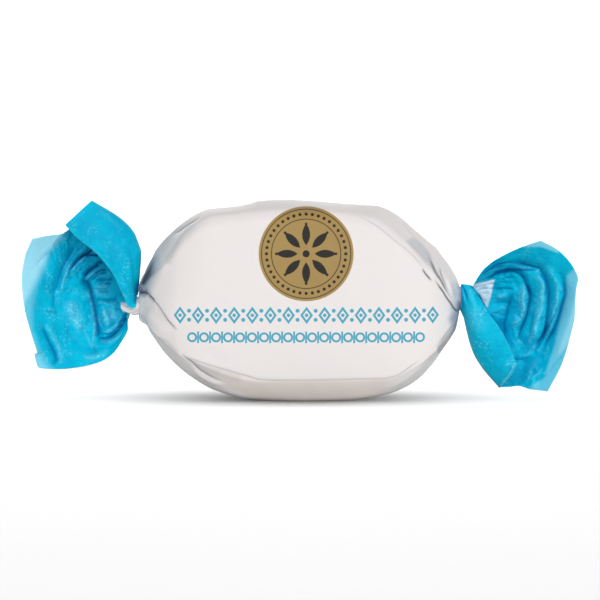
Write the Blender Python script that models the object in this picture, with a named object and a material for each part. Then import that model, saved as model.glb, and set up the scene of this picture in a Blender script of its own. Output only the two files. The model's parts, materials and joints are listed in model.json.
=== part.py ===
"""A polvoron in its twisted paper wrapper, standing on its long edge as it is photographed.

Metres, +Z up. +X runs along the wrapper to the right-hand twist, -Y is the printed front.
The origin is the middle of the flat spot under the long edge, which the polvoron rests on.

Three solids: the white wrapped middle with its two twisted stems, and a blue paper fan at each end.
"""

import math

import bmesh
import bpy
from mathutils import Vector

MM = 0.001

# The wrapped middle, from twist to twist.
BODY_HALF_LENGTH = 35.0 * MM
STATIONS = 58

# The twisted stems between the middle and the fans.
STEM_RADIUS = 1.8 * MM
STEM_LENGTH = 3.6 * MM
STEM_START = BODY_HALF_LENGTH + 0.25 * MM
STEM_RINGS = 4
STEM_TAPER = 0.06
STEM_TURN = 0.8
FLUTES = 4
FLUTE_DEPTH = 0.1

# The throats, where the fans close round the stems.
LEFT_THROAT = Vector((-36.7, 0.0, 20.2)) * MM
RIGHT_THROAT = Vector((36.2, 0.0, 21.8)) * MM

# The paper of the fans. It stands for one crumpled sheet, so it is thicker than the real 0.05 mm.
PAPER_THICKNESS = 0.36 * MM
THROAT_RADIUS = 2.5 * MM


def clamp(value, low=0.0, high=1.0):
    """value, kept between low and high."""
    return max(low, min(high, value))


def smooth(value):
    """An eased step from 0 to 1."""
    value = clamp(value)
    return value * value * (3.0 - 2.0 * value)


def curve_through(knots, values):
    """A monotone cubic through the values at the rising knots, as a function of one number."""
    count = len(knots)
    steps = [knots[i + 1] - knots[i] for i in range(count - 1)]
    slopes = [(values[i + 1] - values[i]) / steps[i] for i in range(count - 1)]
    tangents = [slopes[0]]
    for i in range(1, count - 1):
        if slopes[i - 1] * slopes[i] <= 0.0:
            tangents.append(0.0)
        else:
            before = 2.0 * steps[i] + steps[i - 1]
            after = steps[i] + 2.0 * steps[i - 1]
            tangents.append((before + after) / (before / slopes[i - 1] + after / slopes[i]))
    tangents.append(slopes[-1])

    def at(where):
        where = clamp(where, knots[0], knots[-1])
        i = min(sum(1 for knot in knots[1:-1] if knot <= where), count - 2)
        s = (where - knots[i]) / steps[i]
        return (
            (1.0 + 2.0 * s) * (1.0 - s) ** 2 * values[i]
            + s * (1.0 - s) ** 2 * steps[i] * tangents[i]
            + s * s * (3.0 - 2.0 * s) * values[i + 1]
            + s * s * (s - 1.0) * steps[i] * tangents[i + 1]
        )

    return at


def path_through(points):
    """A smooth path through points of any size, as a function of the share of its length."""
    lengths = [0.0]
    for before, after in zip(points, points[1:]):
        lengths.append(lengths[-1] + math.dist(before, after))
    knots = [length / lengths[-1] for length in lengths]
    parts = [curve_through(knots, [point[k] for point in points]) for k in range(len(points[0]))]
    return lambda share: Vector([part(share) for part in parts])


# Rails of the wrapped middle: (x, height) or (x, depth) in millimetres, from the left twist to the right one.
TOP = [(-35.0, 22.4), (-33.8, 27.9), (-32.7, 30.2), (-31.4, 32.7), (-28.8, 35.7), (-26.2, 37.9),
       (-22.3, 40.3), (-19.7, 41.2), (-17.1, 41.4), (-10.6, 42.5), (-9.3, 43.0), (-2.4, 43.2),
       (2.4, 42.9), (14.1, 42.1), (16.7, 42.0), (18.0, 41.6), (20.6, 40.3), (24.5, 37.0), (27.1, 34.8),
       (29.4, 33.0), (31.0, 31.0), (33.6, 26.6), (34.3, 24.8), (35.0, 23.6)]
FACE_TOP = [(-35.0, 21.6), (-32.5, 25.5), (-28.6, 30.2), (-24.9, 35.6), (-19.0, 39.3), (0.0, 40.6),
            (14.4, 38.9), (22.4, 33.2), (30.6, 25.6), (34.5, 22.9), (35.0, 22.8)]
FACE_BOTTOM = [(-35.0, 19.6), (-33.3, 17.2), (-31.4, 14.9), (-27.7, 11.4), (-23.8, 9.1), (-8.2, 4.5),
               (17.8, 5.0), (24.9, 8.0), (29.9, 12.0), (33.2, 16.6), (34.5, 20.6), (35.0, 20.8)]
BOTTOM = [(-35.0, 17.5), (-34.4, 16.8), (-33.4, 16.2), (-32.2, 14.2), (-30.5, 11.6), (-28.6, 9.3),
          (-24.0, 5.3), (-18.6, 2.2), (-10.0, 0.2), (0.0, -0.25), (10.0, 0.0), (18.5, 1.3), (21.6, 2.4),
          (24.8, 4.2), (28.3, 7.7), (30.8, 11.2), (32.6, 13.9), (33.4, 15.7), (34.4, 19.8), (35.0, 20.0)]
FACE_DEPTH = [(-35.0, 1.5), (-34.0, 3.4), (-31.0, 6.4), (-26.0, 8.7), (-18.0, 9.5), (0.0, 9.6),
              (18.0, 9.5), (26.0, 8.6), (31.0, 6.2), (33.4, 3.4), (34.5, 1.7), (35.0, 1.6)]
BOTTOM_DEPTH = [(-35.0, 0.8), (-32.0, 2.6), (-24.0, 4.6), (-10.0, 6.3), (10.0, 6.3), (24.0, 4.4),
                (32.0, 2.4), (35.0, 0.8)]


def share_of(x):
    """Where x lies between the twists: stations crowd towards both, as a cosine does."""
    return math.acos(clamp(-x / (BODY_HALF_LENGTH / MM), -1.0, 1.0)) / math.pi


def rail(points):
    """A rail's height or depth in metres, as a function of the share from the left twist."""
    return curve_through([share_of(x) for x, _ in points], [value * MM for _, value in points])


TOP_Z, FACE_TOP_Z, FACE_BOTTOM_Z, BOTTOM_Z = (rail(r) for r in (TOP, FACE_TOP, FACE_BOTTOM, BOTTOM))
FACE_Y, BOTTOM_Y = rail(FACE_DEPTH), rail(BOTTOM_DEPTH)


# The top fold lies behind the middle, by a share of the depth.
# The rear face is a little lower than the front.
TOP_SHIFT = 0.12
REAR_DROP = 0.4 * MM


def corners(share):
    """The seven fold lines that a cross-section of the wrapped middle passes through, as (y, z)."""
    face, foot = FACE_Y(share), BOTTOM_Y(share)
    rear_drop = REAR_DROP * math.sin(math.pi * share)
    return [
        (TOP_SHIFT * face, TOP_Z(share)),
        (-face, FACE_TOP_Z(share)),
        (-face, FACE_BOTTOM_Z(share)),
        (-foot, BOTTOM_Z(share)),
        (foot, BOTTOM_Z(share)),
        (face, FACE_BOTTOM_Z(share) + rear_drop),
        (face, FACE_TOP_Z(share) - rear_drop),
    ]


# For each side of the cross-section, from the corner of the same number to the next: the pieces it is cut
# into, and its crown in the middle of the wrapper and at the twists. A crown below zero is a gusset that the
# twist draws in.
SIDES = [
    (3, 0.6 * MM, -0.7 * MM),
    (11, 0.45 * MM, -0.25 * MM),
    (3, 0.45 * MM, -0.5 * MM),
    (3, 0.0, 0.3 * MM),
    (3, 0.45 * MM, -0.5 * MM),
    (9, 0.45 * MM, -0.25 * MM),
    (3, 0.6 * MM, -0.7 * MM),
]

# A corner is rounded by this much, or by a share of the sides that meet there where they are short.
CORNER_ROUNDING = 1.1 * MM
CORNER_SHARE = 0.3
# A side keeps this share of its length clear at both ends. A side shorter than this gets less of its crown.
SIDE_MARGIN = 0.06
CROWNED_SIDE = 6.0 * MM

# The gathers that run out over the middle from each twist.
PLEATS = 9
PLEAT_HEIGHT = 0.6 * MM
PLEAT_REACH = 13.0 * MM
PLEAT_SPAN = 0.9
TWIST_TURN = 0.9
END_SHARE = 0.015


def near_twist(share):
    """1 at either twist, falling to 0 a pleat's reach away from it."""
    distance = BODY_HALF_LENGTH * (1.0 - abs(math.cos(math.pi * share)))
    return 1.0 - smooth(distance / PLEAT_REACH)


def section(share):
    """One closed cross-section: a seven-sided outline with crowned sides and rounded corners."""
    points = corners(share)
    drawn_in = near_twist(share)
    outline = []
    for i, (pieces, crown_mid, crown_twist) in enumerate(SIDES):
        start, end = Vector(points[i]), Vector(points[(i + 1) % len(points)])
        before = Vector(points[i - 1])
        along, back = end - start, before - start
        rounding = min(CORNER_ROUNDING, CORNER_SHARE * along.length, CORNER_SHARE * back.length)
        leave, arrive = start + along.normalized() * rounding, start + back.normalized() * rounding
        outline.append((arrive + 2.0 * start + leave) / 4.0)
        out = Vector((along.y, -along.x)).normalized()
        crown = crown_mid + (crown_twist - crown_mid) * drawn_in
        crown *= min(1.0, along.length / CROWNED_SIDE)
        for k in range(pieces):
            s = (k + 0.5) / pieces
            place = start + along * (SIDE_MARGIN + (1.0 - 2.0 * SIDE_MARGIN) * s)
            outline.append(place + out * crown * 4.0 * s * (1.0 - s))
    return outline


def pleated(outline, share):
    """The cross-section with the gathers that run out from the nearer twist."""
    drawn_in = near_twist(share)
    side = -1.0 if share < 0.5 else 1.0
    middle = sum(outline, Vector((0.0, 0.0))) / len(outline)
    shaped = []
    for point in outline:
        offset = point - middle
        angle = math.atan2(offset.y, offset.x)
        wave = math.cos(PLEATS * angle + side * TWIST_TURN * PLEATS * drawn_in)
        lift = PLEAT_HEIGHT * drawn_in * math.sin(math.pi * PLEAT_SPAN * drawn_in) * wave
        shaped.append(point + offset.normalized() * lift)
    return shaped


def add_ring(mesh, points):
    """A closed ring of edges through the points."""
    made = bmesh.ops.create_circle(mesh, segments=len(points), radius=1.0)["verts"]
    for vertex, point in zip(made, points):
        vertex.co = point
    return list({edge for vertex in made for edge in vertex.link_edges})


def new_object(name, mesh, material):
    """An object that holds the finished bmesh, with its material."""
    data = bpy.data.meshes.new(name)
    mesh.to_mesh(data)
    mesh.free()
    data.materials.append(material)
    made = bpy.data.objects.new(name, data)
    bpy.context.scene.collection.objects.link(made)
    return made


def paper(name, colour, roughness):
    """Waxed tissue paper of one colour."""
    made = bpy.data.materials.new(name)
    made.use_nodes = True
    shader = made.node_tree.nodes["Principled BSDF"]
    shader.inputs["Base Color"].default_value = (*colour, 1.0)
    shader.inputs["Roughness"].default_value = roughness
    shader.inputs["Metallic"].default_value = 0.0
    made.diffuse_color = (*colour, 1.0)
    return made


def stem_ring(count, x, radius, centre_z, turn):
    """A ring of the twisted stem: a few flutes, turned a little more at each ring."""
    ring = []
    for k in range(count):
        angle = math.pi / 2.0 + 2.0 * math.pi * k / count
        fluted = radius * (1.0 + FLUTE_DEPTH * math.cos(FLUTES * angle + turn))
        ring.append((x, fluted * math.cos(angle), centre_z + fluted * math.sin(angle)))
    return ring


def wrapped_middle(material):
    """The white middle of the wrapper over the biscuit, with a stem at each end."""
    mesh = bmesh.new()
    rings = []
    count = len(section(0.5))
    for side, throat in ((-1.0, LEFT_THROAT), (1.0, RIGHT_THROAT)):
        stem = []
        for k in range(STEM_RINGS):
            x = side * (STEM_START + STEM_LENGTH * k / (STEM_RINGS - 1))
            stem.append(stem_ring(count, x, STEM_RADIUS * (1.0 - STEM_TAPER * k), throat.z, STEM_TURN * k))
        rings.append(stem[::-1] if side < 0.0 else stem)
    left, right = rings
    middle = []
    for k in range(STATIONS):
        share = END_SHARE + (1.0 - 2.0 * END_SHARE) * k / (STATIONS - 1)
        x = -BODY_HALF_LENGTH * math.cos(math.pi * share)
        middle.append([(x, point.x, max(0.0, point.y)) for point in pleated(section(share), share)])
    loops = [add_ring(mesh, ring) for ring in left + middle + right]
    for before, after in zip(loops, loops[1:]):
        bmesh.ops.bridge_loops(mesh, edges=before + after)
    bmesh.ops.holes_fill(mesh, edges=loops[0] + loops[-1], sides=0)
    bmesh.ops.triangulate(mesh, faces=[face for face in mesh.faces if len(face.verts) > 4])
    bmesh.ops.recalc_face_normals(mesh, faces=mesh.faces)
    made = new_object("wrapped_middle", mesh, material)
    made.data.shade_smooth()
    return made


# The fans: points (x, y, z) in millimetres. Each is one sheet that leaves the throat's ring round the stem.
# The flap is its front, folded over along the fold line. The bowl is its back, out to the rim.
# The fold line, the flap's free edge and the rim all start on the ring, which their lists leave out.
# The pleats of the bowl run along the inner rim. The rim itself, with its corners, lies just outside it.
# ring_ends are the ring's angles at the free edge and the rim, and ring_lean how far outwards the ring
# stands at the fold line, the free edge and the rim.
RIGHT_FAN = {
    "fold_side": -1.0,
    "ring_ends": (168.0, 155.0),
    "ring_lean": (-1.7 * MM, -1.6 * MM, 0.8 * MM),
    "fold": [(35.3, -0.8, 17.4), (35.8, -1.0, 15.0), (37.2, -0.9, 10.3), (38.9, -0.7, 7.3), (43.0, 0.0, 2.4)],
    "free": [(34.7, -1.2, 24.9), (36.6, -2.4, 24.7), (38.2, -3.5, 22.6), (40.0, -4.7, 19.8),
             (43.4, -6.0, 14.5), (46.5, -4.6, 7.5)],
    "rim": [(40.0, 1.4, 28.3), (47.4, -1.1, 32.8), (51.0, -2.3, 34.1), (51.6, -2.4, 34.3), (52.2, -2.5, 34.0),
            (54.5, -2.9, 32.8), (57.4, -3.2, 30.2), (59.1, -3.1, 27.6), (59.6, -3.0, 26.2),
            (59.2, -2.8, 23.6), (59.0, -2.4, 18.0), (58.2, -2.1, 14.0), (56.4, -1.5, 7.8), (53.4, -0.6, 1.6)],
    "inner_rim": [(41.4, 1.4, 28.0), (48.6, -0.8, 30.6), (55.6, -2.4, 26.4), (57.2, -2.4, 17.6),
                  (55.6, -1.6, 8.6), (52.4, -0.4, 2.0)],
    "bowl_end": [(45.2, 1.4, 2.3), (47.5, 1.5, 2.5), (50.0, 0.8, 1.9)],
    "flap_end": [(44.9, -2.6, 5.0)],
    "bowl_depth": 5.6 * MM,
}
LEFT_FAN = {
    "fold_side": 1.0,
    "ring_ends": (97.0, 150.0),
    "ring_lean": (-1.4 * MM, -1.1 * MM, 1.1 * MM),
    "fold": [(-35.0, -1.0, 25.6), (-34.5, -1.2, 31.7), (-34.9, -1.1, 33.2), (-36.1, -0.8, 36.1),
             (-36.9, -0.8, 37.2), (-39.2, -0.7, 39.3), (-45.1, -0.4, 42.9)],
    "free": [(-36.7, -2.8, 20.0), (-38.3, -3.8, 21.5), (-40.0, -4.6, 25.0), (-43.3, -6.0, 29.7),
             (-48.2, -4.6, 35.2), (-50.6, -3.6, 37.7)],
    "rim": [(-37.6, 1.2, 15.2), (-38.9, 0.4, 12.4), (-40.6, -0.7, 10.0), (-43.2, -1.4, 8.2),
            (-48.6, -2.3, 6.9), (-52.2, -2.5, 6.6), (-55.7, -2.6, 6.9), (-56.9, -2.9, 10.6),
            (-58.1, -3.0, 14.5), (-59.5, -3.1, 20.0), (-60.1, -2.8, 26.0), (-59.5, -2.3, 30.6),
            (-57.9, -1.8, 34.7)],
    "inner_rim": [(-39.0, 1.2, 14.0), (-44.4, -1.0, 9.4), (-52.0, -2.2, 9.4), (-55.6, -2.8, 14.8),
                  (-57.8, -2.6, 23.0), (-57.8, -2.2, 30.0), (-56.4, -1.4, 34.9)],
    "bowl_end": [(-48.8, 1.2, 38.3), (-52.2, 0.6, 35.6), (-54.3, -0.2, 35.4)],
    "flap_end": [(-48.0, -2.4, 40.1)],
    "bowl_depth": 5.4 * MM,
}
RIM_REACH = 5.0
FLAP_BULGE = 1.0 * MM

# The fold is rounded over this share of each half, and the halves part by twice the opening behind it.
FOLD_ROUNDING = 0.12
FOLD_OPENING = 1.1 * MM

# How far from the throat, as a share of the way out, the opening, the bulge and the pleats are full.
OPENING_START = 0.2
BULGE_START = 0.3
PLEAT_START = 0.35

# The bowl's depth: the part that it keeps up to its outer end, and the powers that put its deepest place
# nearer to the fold and to the throat.
BOWL_KEPT = 0.3
BOWL_LEAN = 0.8
BOWL_FULLNESS = 0.7

# The bowl's pleats, which crowd towards the rim, sway a little, and fade at the fold, the rim and the end.
BOWL_PLEATS = 4.5
BOWL_PLEAT_HEIGHT = 0.8 * MM
PLEAT_CROWDING = 1.2
PLEAT_SWAY = 0.35
SWAY_RATE = 3.0
FADE_AT_FOLD = 0.15
FADE_AT_RIM = 0.2
FADE_AT_END = 0.3

# The grid of a fan's sheet, and the share of it that the flap takes.
FAN_CELLS_ACROSS = 52
FAN_CELLS_ALONG = 17
FLAP_SHARE = 0.3
SHARP_ANGLE = math.radians(50.0)


def throat_ring(throat, fan, side):
    """The ring round the stem from the fold line: side -1 passes in front of the stem, 1 behind it."""
    outwards = math.copysign(1.0, throat.x)
    front_end, back_end = fan["ring_ends"]
    at_fold, at_front_end, at_back_end = fan["ring_lean"]
    end_angle, at_end = (front_end, at_front_end) if side < 0.0 else (back_end, at_back_end)

    def at(a):
        angle = math.radians(end_angle) * a
        along = (at_fold + (at_end - at_fold) * smooth(a)) * outwards
        across = side * THROAT_RADIUS * math.sin(angle)
        return throat + Vector((along, across, fan["fold_side"] * THROAT_RADIUS * math.cos(angle)))

    return at


def blended_patch(start, end, first, last):
    """A smooth patch between four paths: start and end run with b, first and last run with a."""
    corner = {(a, b): (first, last)[b](a) for a in (0, 1) for b in (0, 1)}

    def at(a, b):
        ruled = start(b) * (1.0 - a) + end(b) * a + first(a) * (1.0 - b) + last(a) * b
        for (i, j), point in corner.items():
            ruled = ruled - point * ((a if i else 1.0 - a) * (b if j else 1.0 - b))
        return ruled

    return at


def fan_surface(fan, throat):
    """The sheet of a fan as a function of u and b.

    u runs from -1 on the flap's free edge to 1 on the bowl's rim, b from the throat to the end.
    """
    listed = {name: [Vector(point) * MM for point in fan[name]]
              for name in ("fold", "free", "rim", "inner_rim", "bowl_end", "flap_end")}
    front_ring, back_ring = throat_ring(throat, fan, -1.0), throat_ring(throat, fan, 1.0)
    fold = path_through([back_ring(0.0)] + listed["fold"])
    free = path_through([front_ring(1.0)] + listed["free"])
    rim = path_through([back_ring(1.0)] + listed["rim"])
    inner_rim = path_through([back_ring(1.0)] + listed["inner_rim"])
    bowl_end = path_through([fold(1.0)] + listed["bowl_end"] + [inner_rim(1.0)])
    flap_end = path_through([fold(1.0)] + listed["flap_end"] + [free(1.0)])
    bowl = blended_patch(fold, inner_rim, back_ring, bowl_end)
    flap = blended_patch(fold, free, front_ring, flap_end)
    depth = fan["bowl_depth"]

    def at(u, b):
        a = abs(u)
        turn = math.hypot(a, FOLD_ROUNDING) - FOLD_ROUNDING
        turn /= math.hypot(1.0, FOLD_ROUNDING) - FOLD_ROUNDING
        opening = FOLD_OPENING * math.tanh(a / FOLD_ROUNDING) * (1.0 - a) * smooth(b / OPENING_START)
        hump = math.sin(math.pi * a) * smooth(b / BULGE_START)
        if u < 0.0:
            point = flap(turn, b)
            point.y -= FLAP_BULGE * hump + opening
            return point
        point = bowl(turn, b) + (rim(b) - inner_rim(b)) * turn ** RIM_REACH
        across = math.sin(math.pi * a ** BOWL_LEAN)
        along = math.sin(math.pi * b ** BOWL_LEAN) ** BOWL_FULLNESS
        point.y += opening + depth * (across * along + BOWL_KEPT * hump)
        waves = BOWL_PLEATS * a ** PLEAT_CROWDING + PLEAT_SWAY * math.sin(SWAY_RATE * b)
        fade = smooth(a / FADE_AT_FOLD) * smooth((1.0 - a) / FADE_AT_RIM)
        fade *= smooth(b / PLEAT_START) * smooth((1.0 - b) / FADE_AT_END)
        point.y += BOWL_PLEAT_HEIGHT * fade * math.sin(2.0 * math.pi * waves)
        return point

    return at


def fan_sheet(name, fan, throat, material):
    """A blue paper fan: one sheet gathered at the throat, folded once, with a given thickness."""
    surface = fan_surface(fan, throat)
    mesh = bmesh.new()
    bmesh.ops.create_grid(mesh, x_segments=FAN_CELLS_ACROSS, y_segments=FAN_CELLS_ALONG, size=1.0)
    for vertex in mesh.verts:
        across, b = (vertex.co.x + 1.0) / 2.0, (vertex.co.y + 1.0) / 2.0
        u = across / FLAP_SHARE - 1.0 if across < FLAP_SHARE else (across - FLAP_SHARE) / (1.0 - FLAP_SHARE)
        vertex.co = surface(u, b)
    bmesh.ops.recalc_face_normals(mesh, faces=mesh.faces)
    bmesh.ops.triangulate(mesh, faces=mesh.faces)
    made = new_object(name, mesh, material)
    made.data.shade_smooth()
    made.data.set_sharp_from_angle(angle=SHARP_ANGLE)
    wall = made.modifiers.new("paper", "SOLIDIFY")
    wall.thickness = PAPER_THICKNESS
    wall.offset = 0.0
    return made


def remove_all():
    """Clears the scene."""
    for old in list(bpy.data.objects):
        bpy.data.objects.remove(old)


def main():
    remove_all()
    white = paper("white_waxed_paper", (0.83, 0.80, 0.78), 0.45)
    blue = paper("blue_waxed_paper", (0.0, 0.43, 0.68), 0.5)
    wrapped_middle(white)
    fan_sheet("left_fan", LEFT_FAN, LEFT_THROAT, blue)
    fan_sheet("right_fan", RIGHT_FAN, RIGHT_THROAT, blue)


main()
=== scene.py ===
"""The looks of a wrapped polvoron: white waxed tissue, twisted at both ends into crumpled blue fans.

The file is laid out as an add-on and is run as a script. Lengths in its tables are millimetres, in the
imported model's frame: +X to the right-hand twist, -Y out of the printed front, +Z up.
"""

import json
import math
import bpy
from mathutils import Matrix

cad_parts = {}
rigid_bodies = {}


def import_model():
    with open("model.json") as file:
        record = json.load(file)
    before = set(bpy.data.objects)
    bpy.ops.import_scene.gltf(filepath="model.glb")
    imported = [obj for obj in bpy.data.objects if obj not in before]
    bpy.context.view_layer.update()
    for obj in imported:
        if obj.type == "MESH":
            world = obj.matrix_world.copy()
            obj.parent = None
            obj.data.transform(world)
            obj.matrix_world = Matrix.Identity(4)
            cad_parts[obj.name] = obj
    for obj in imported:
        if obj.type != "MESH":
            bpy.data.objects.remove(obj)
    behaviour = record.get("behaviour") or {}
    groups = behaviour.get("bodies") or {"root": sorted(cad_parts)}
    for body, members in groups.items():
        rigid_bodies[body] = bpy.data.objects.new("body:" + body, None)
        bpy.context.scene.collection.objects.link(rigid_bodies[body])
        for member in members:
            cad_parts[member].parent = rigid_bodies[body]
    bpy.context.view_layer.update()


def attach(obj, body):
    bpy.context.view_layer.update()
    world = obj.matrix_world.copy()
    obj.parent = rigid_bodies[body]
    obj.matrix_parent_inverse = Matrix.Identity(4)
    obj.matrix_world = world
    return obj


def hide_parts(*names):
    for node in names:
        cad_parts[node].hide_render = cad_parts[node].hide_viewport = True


bl_info = {
    "name": "Wrapped polvoron",
    "version": (1, 0, 0),
    "blender": (4, 5, 0),
    "location": "View3D > Sidebar > Polvoron",
    "description": "Builds the paper of a wrapped polvoron round its packed model",
    "category": "Add Mesh",
}

from functools import partial

import bmesh
import bpy
import numpy as np
from bpy.props import FloatProperty, FloatVectorProperty, IntProperty, PointerProperty
from mathutils import Vector, noise

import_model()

MM = 0.001
# The front view, in millimetres: how far off it is, how high its middle is, and how steeply it looks down.
VIEW_DISTANCE = 487.0
VIEW_MIDDLE = 21.4
VIEW_ELEVATION = math.radians(2.6)
# Farther off than anything on the object, in millimetres.
FAR = 1e3


def linear(code):
    """A linear colour from an sRGB hex value such as "#ECE7E7"."""
    channels = (int(code[i:i + 2], 16) / 255.0 for i in (1, 3, 5))
    return tuple(c / 12.92 if c <= 0.04045 else ((c + 0.055) / 1.055) ** 2.4 for c in channels)


def smooth(value):
    """An eased step from 0 to 1, for one number or an array."""
    value = np.clip(value, 0.0, 1.0)
    return value * value * (3.0 - 2.0 * value)


def curve_through(knots, values):
    """A monotone cubic through the values at the rising knots, as a function of one number or an array."""
    knots, values = np.asarray(knots, float), np.asarray(values, float)
    steps = np.diff(knots)
    slopes = np.diff(values) / steps
    before, after = 2.0 * steps[1:] + steps[:-1], steps[1:] + 2.0 * steps[:-1]
    level = slopes[:-1] * slopes[1:] <= 0.0
    safe = np.where(slopes == 0.0, 1.0, slopes)
    inner = (before + after) / (before / safe[:-1] + after / safe[1:])
    tangents = np.concatenate(([slopes[0]], np.where(level, 0.0, inner), [slopes[-1]]))

    def at(where):
        where = np.clip(where, knots[0], knots[-1])
        i = np.clip(np.searchsorted(knots, where, side="right") - 1, 0, len(steps) - 1)
        s = (where - knots[i]) / steps[i]
        rising = s * s * (3.0 - 2.0 * s)
        bends = s * (1.0 - s) ** 2 * tangents[i] + s * s * (s - 1.0) * tangents[i + 1]
        return (1.0 - rising) * values[i] + rising * values[i + 1] + steps[i] * bends

    return at


def path_through(points):
    """A smooth path through points of any size, as a function of the share of its length."""
    points = np.asarray(points, float)
    lengths = np.concatenate(([0.0], np.cumsum(np.linalg.norm(np.diff(points, axis=0), axis=1))))
    parts = [curve_through(lengths / lengths[-1], points[:, k]) for k in range(points.shape[1])]
    return lambda share: np.stack([part(share) for part in parts], axis=-1)


def roughness_of(points, scale, seed):
    """Smooth noise between about -1 and 1 at each point, with its features scale millimetres wide."""
    flat = points.reshape(-1, 3)
    values = [noise.noise(Vector(point) / scale + Vector((seed, 0.0, 0.0))) for point in flat]
    return np.array(values).reshape(points.shape[:-1])


# Lines on the paper. A line is followed at so many places for each of its points.
LINE_PLACES = 8


def along_line(x, z, points, reach):
    """For each place: its distance from the line, signed by its side, and how far along the line it is."""
    path = path_through(points)(np.linspace(0.0, 1.0, LINE_PLACES * len(points)))
    distance = np.full(x.shape, FAR)
    share = np.zeros(x.shape)
    low, high = path.min(axis=0) - reach, path.max(axis=0) + reach
    near = (x > low[0]) & (x < high[0]) & (z > low[1]) & (z < high[1])
    here = np.stack([x[near], z[near]], axis=-1)
    best, best_share = np.full(len(here), FAR), np.zeros(len(here))
    for k, (start, end) in enumerate(zip(path, path[1:])):
        step = end - start
        t = np.clip((here - start) @ step / max(step @ step, 1e-9), 0.0, 1.0)
        offset = here - start - t[:, None] * step
        length = np.linalg.norm(offset, axis=1)
        side = np.sign(step[0] * offset[:, 1] - step[1] * offset[:, 0])
        closer = length < np.abs(best)
        best = np.where(closer, length * np.where(side == 0.0, 1.0, side), best)
        best_share = np.where(closer, (k + t) / (len(path) - 1), best_share)
    distance[near], share[near] = best, best_share
    return distance, share


def in_front_view(points):
    """Where points are in the front view that the lines of the folds are measured in, as x and z."""
    x, y, z = (points[..., k] for k in range(3))
    nearer = VIEW_DISTANCE / (VIEW_DISTANCE + y)
    return x * nearer, VIEW_MIDDLE + (z - VIEW_MIDDLE) * nearer + y * math.tan(VIEW_ELEVATION)


# A fold's section: how sharp a step is, how wide a ridge's painted highlight is and how wide a crease's
# painted shade is, as shares of the fold's width, and how deep the groove at the foot of a step is, as a
# share of its height.
STEP_SHARPNESS = 0.4
RIDGE_WIDTH = 0.6
SHADE_WIDTH = 2.2
STEP_GROOVE = 0.35
# How far from its line a fold is worked out, as a share of its width and of its reach.
FOLD_EXTENT, STEP_EXTENT = 6.0, 4.0


def fold(line, width, height, start, end, dark=(0.0, 1.0), pale=(0.0, 1.0), reach=0.0):
    """A fold along a line of (x, z), with the shares of the line over which it starts and ends.

    A fold with a reach is a step in the paper, raised on the left of its line. The others are grooves, or
    ridges where the height is above zero. Dark is the painted shade along its crease and pale the painted
    highlight along it, each as how strong and how wide that line is.
    """
    return line, width, height, start, end, dark, pale, reach


def fold_relief(x, z, folds, rounding=1.0, shade=0.0):
    """What the folds add at each place: their height, the painted shade in their creases and the painted
    highlight on their ridges.

    The rounding is that of a fold's bottom or ridge, as a share of its width. The shade is the part of the
    painted shade in its creases that spreads over the whole fold.
    """
    relief, creases, ridges = np.zeros(x.shape), np.zeros(x.shape), np.zeros(x.shape)
    for line, width, height, start, end, (dark, dark_width), (pale, pale_width), reach in folds:
        distance, share = along_line(x, z, line, max(FOLD_EXTENT * width, STEP_EXTENT * reach))
        strength = smooth(share / start) * smooth((1.0 - share) / end)
        profile = np.exp(rounding - np.hypot(rounding, distance / width))
        if reach:
            raised = 0.5 + 0.5 * np.tanh(distance / (STEP_SHARPNESS * width))
            relief += height * strength * raised * np.exp(-np.abs(distance) / reach)
            relief -= STEP_GROOVE * abs(height) * strength * profile
        else:
            relief += height * strength * profile
            # painted highlight along the top of a raised ridge
            ridges += max(0.0, height) * strength * np.exp(-(distance / (RIDGE_WIDTH * width)) ** 2)
        ridges += pale * strength * np.exp(-(distance / pale_width) ** 2)
        # painted shade along the crease, and over the whole fold as far as the shade reaches
        around = shade * np.exp(-(distance / (SHADE_WIDTH * width)) ** 2)
        creases += dark * strength * np.maximum(np.exp(-(distance / dark_width) ** 2), around)
    return relief, np.clip(creases, 0.0, 1.0), np.clip(ridges, 0.0, 1.0)


# Shape of the wrapped middle: rails of (x, height) or (x, depth), from the left twist to the right one.
HALF_LENGTH = 35.0
TOP = [(-35.0, 22.4), (-33.8, 27.9), (-32.7, 30.2), (-31.4, 32.7), (-28.8, 35.7), (-26.2, 37.9),
       (-22.3, 40.3), (-19.7, 41.2), (-17.1, 41.4), (-10.6, 42.5), (-9.3, 43.0), (-2.4, 43.2), (2.4, 42.9),
       (14.1, 42.1), (16.7, 42.0), (18.0, 41.6), (20.6, 40.3), (24.5, 37.0), (27.1, 34.8), (29.4, 33.0),
       (31.0, 31.0), (33.6, 26.6), (34.3, 24.8), (35.0, 23.6)]
FACE_TOP = [(-35.0, 21.6), (-32.5, 25.5), (-28.6, 30.2), (-24.9, 35.6), (-19.0, 39.3), (0.0, 40.6),
            (14.4, 38.9), (22.4, 33.2), (30.6, 25.6), (34.5, 22.9), (35.0, 22.8)]
FACE_BOTTOM = [(-35.0, 19.6), (-33.3, 17.2), (-31.4, 14.9), (-27.7, 11.4), (-23.8, 9.1), (-8.2, 4.5),
               (17.8, 5.0), (24.9, 8.0), (29.9, 12.0), (33.2, 16.6), (34.5, 20.6), (35.0, 20.8)]
BOTTOM = [(-35.0, 17.5), (-34.4, 16.8), (-33.4, 16.2), (-32.2, 14.2), (-30.5, 11.6), (-28.6, 9.3),
          (-24.0, 5.3), (-18.6, 2.2), (-10.0, 0.2), (0.0, -0.25), (10.0, 0.0), (18.5, 1.3), (21.6, 2.4),
          (24.8, 4.2), (28.3, 7.7), (30.8, 11.2), (32.6, 13.8), (33.4, 15.2), (34.4, 19.4), (35.0, 19.9)]
FACE_DEPTH = [(-35.0, 1.5), (-34.0, 3.4), (-31.0, 6.4), (-26.0, 8.7), (-18.0, 9.5), (0.0, 9.6),
              (18.0, 9.5), (26.0, 8.6), (31.0, 6.2), (33.4, 3.4), (34.5, 1.7), (35.0, 1.6)]
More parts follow.
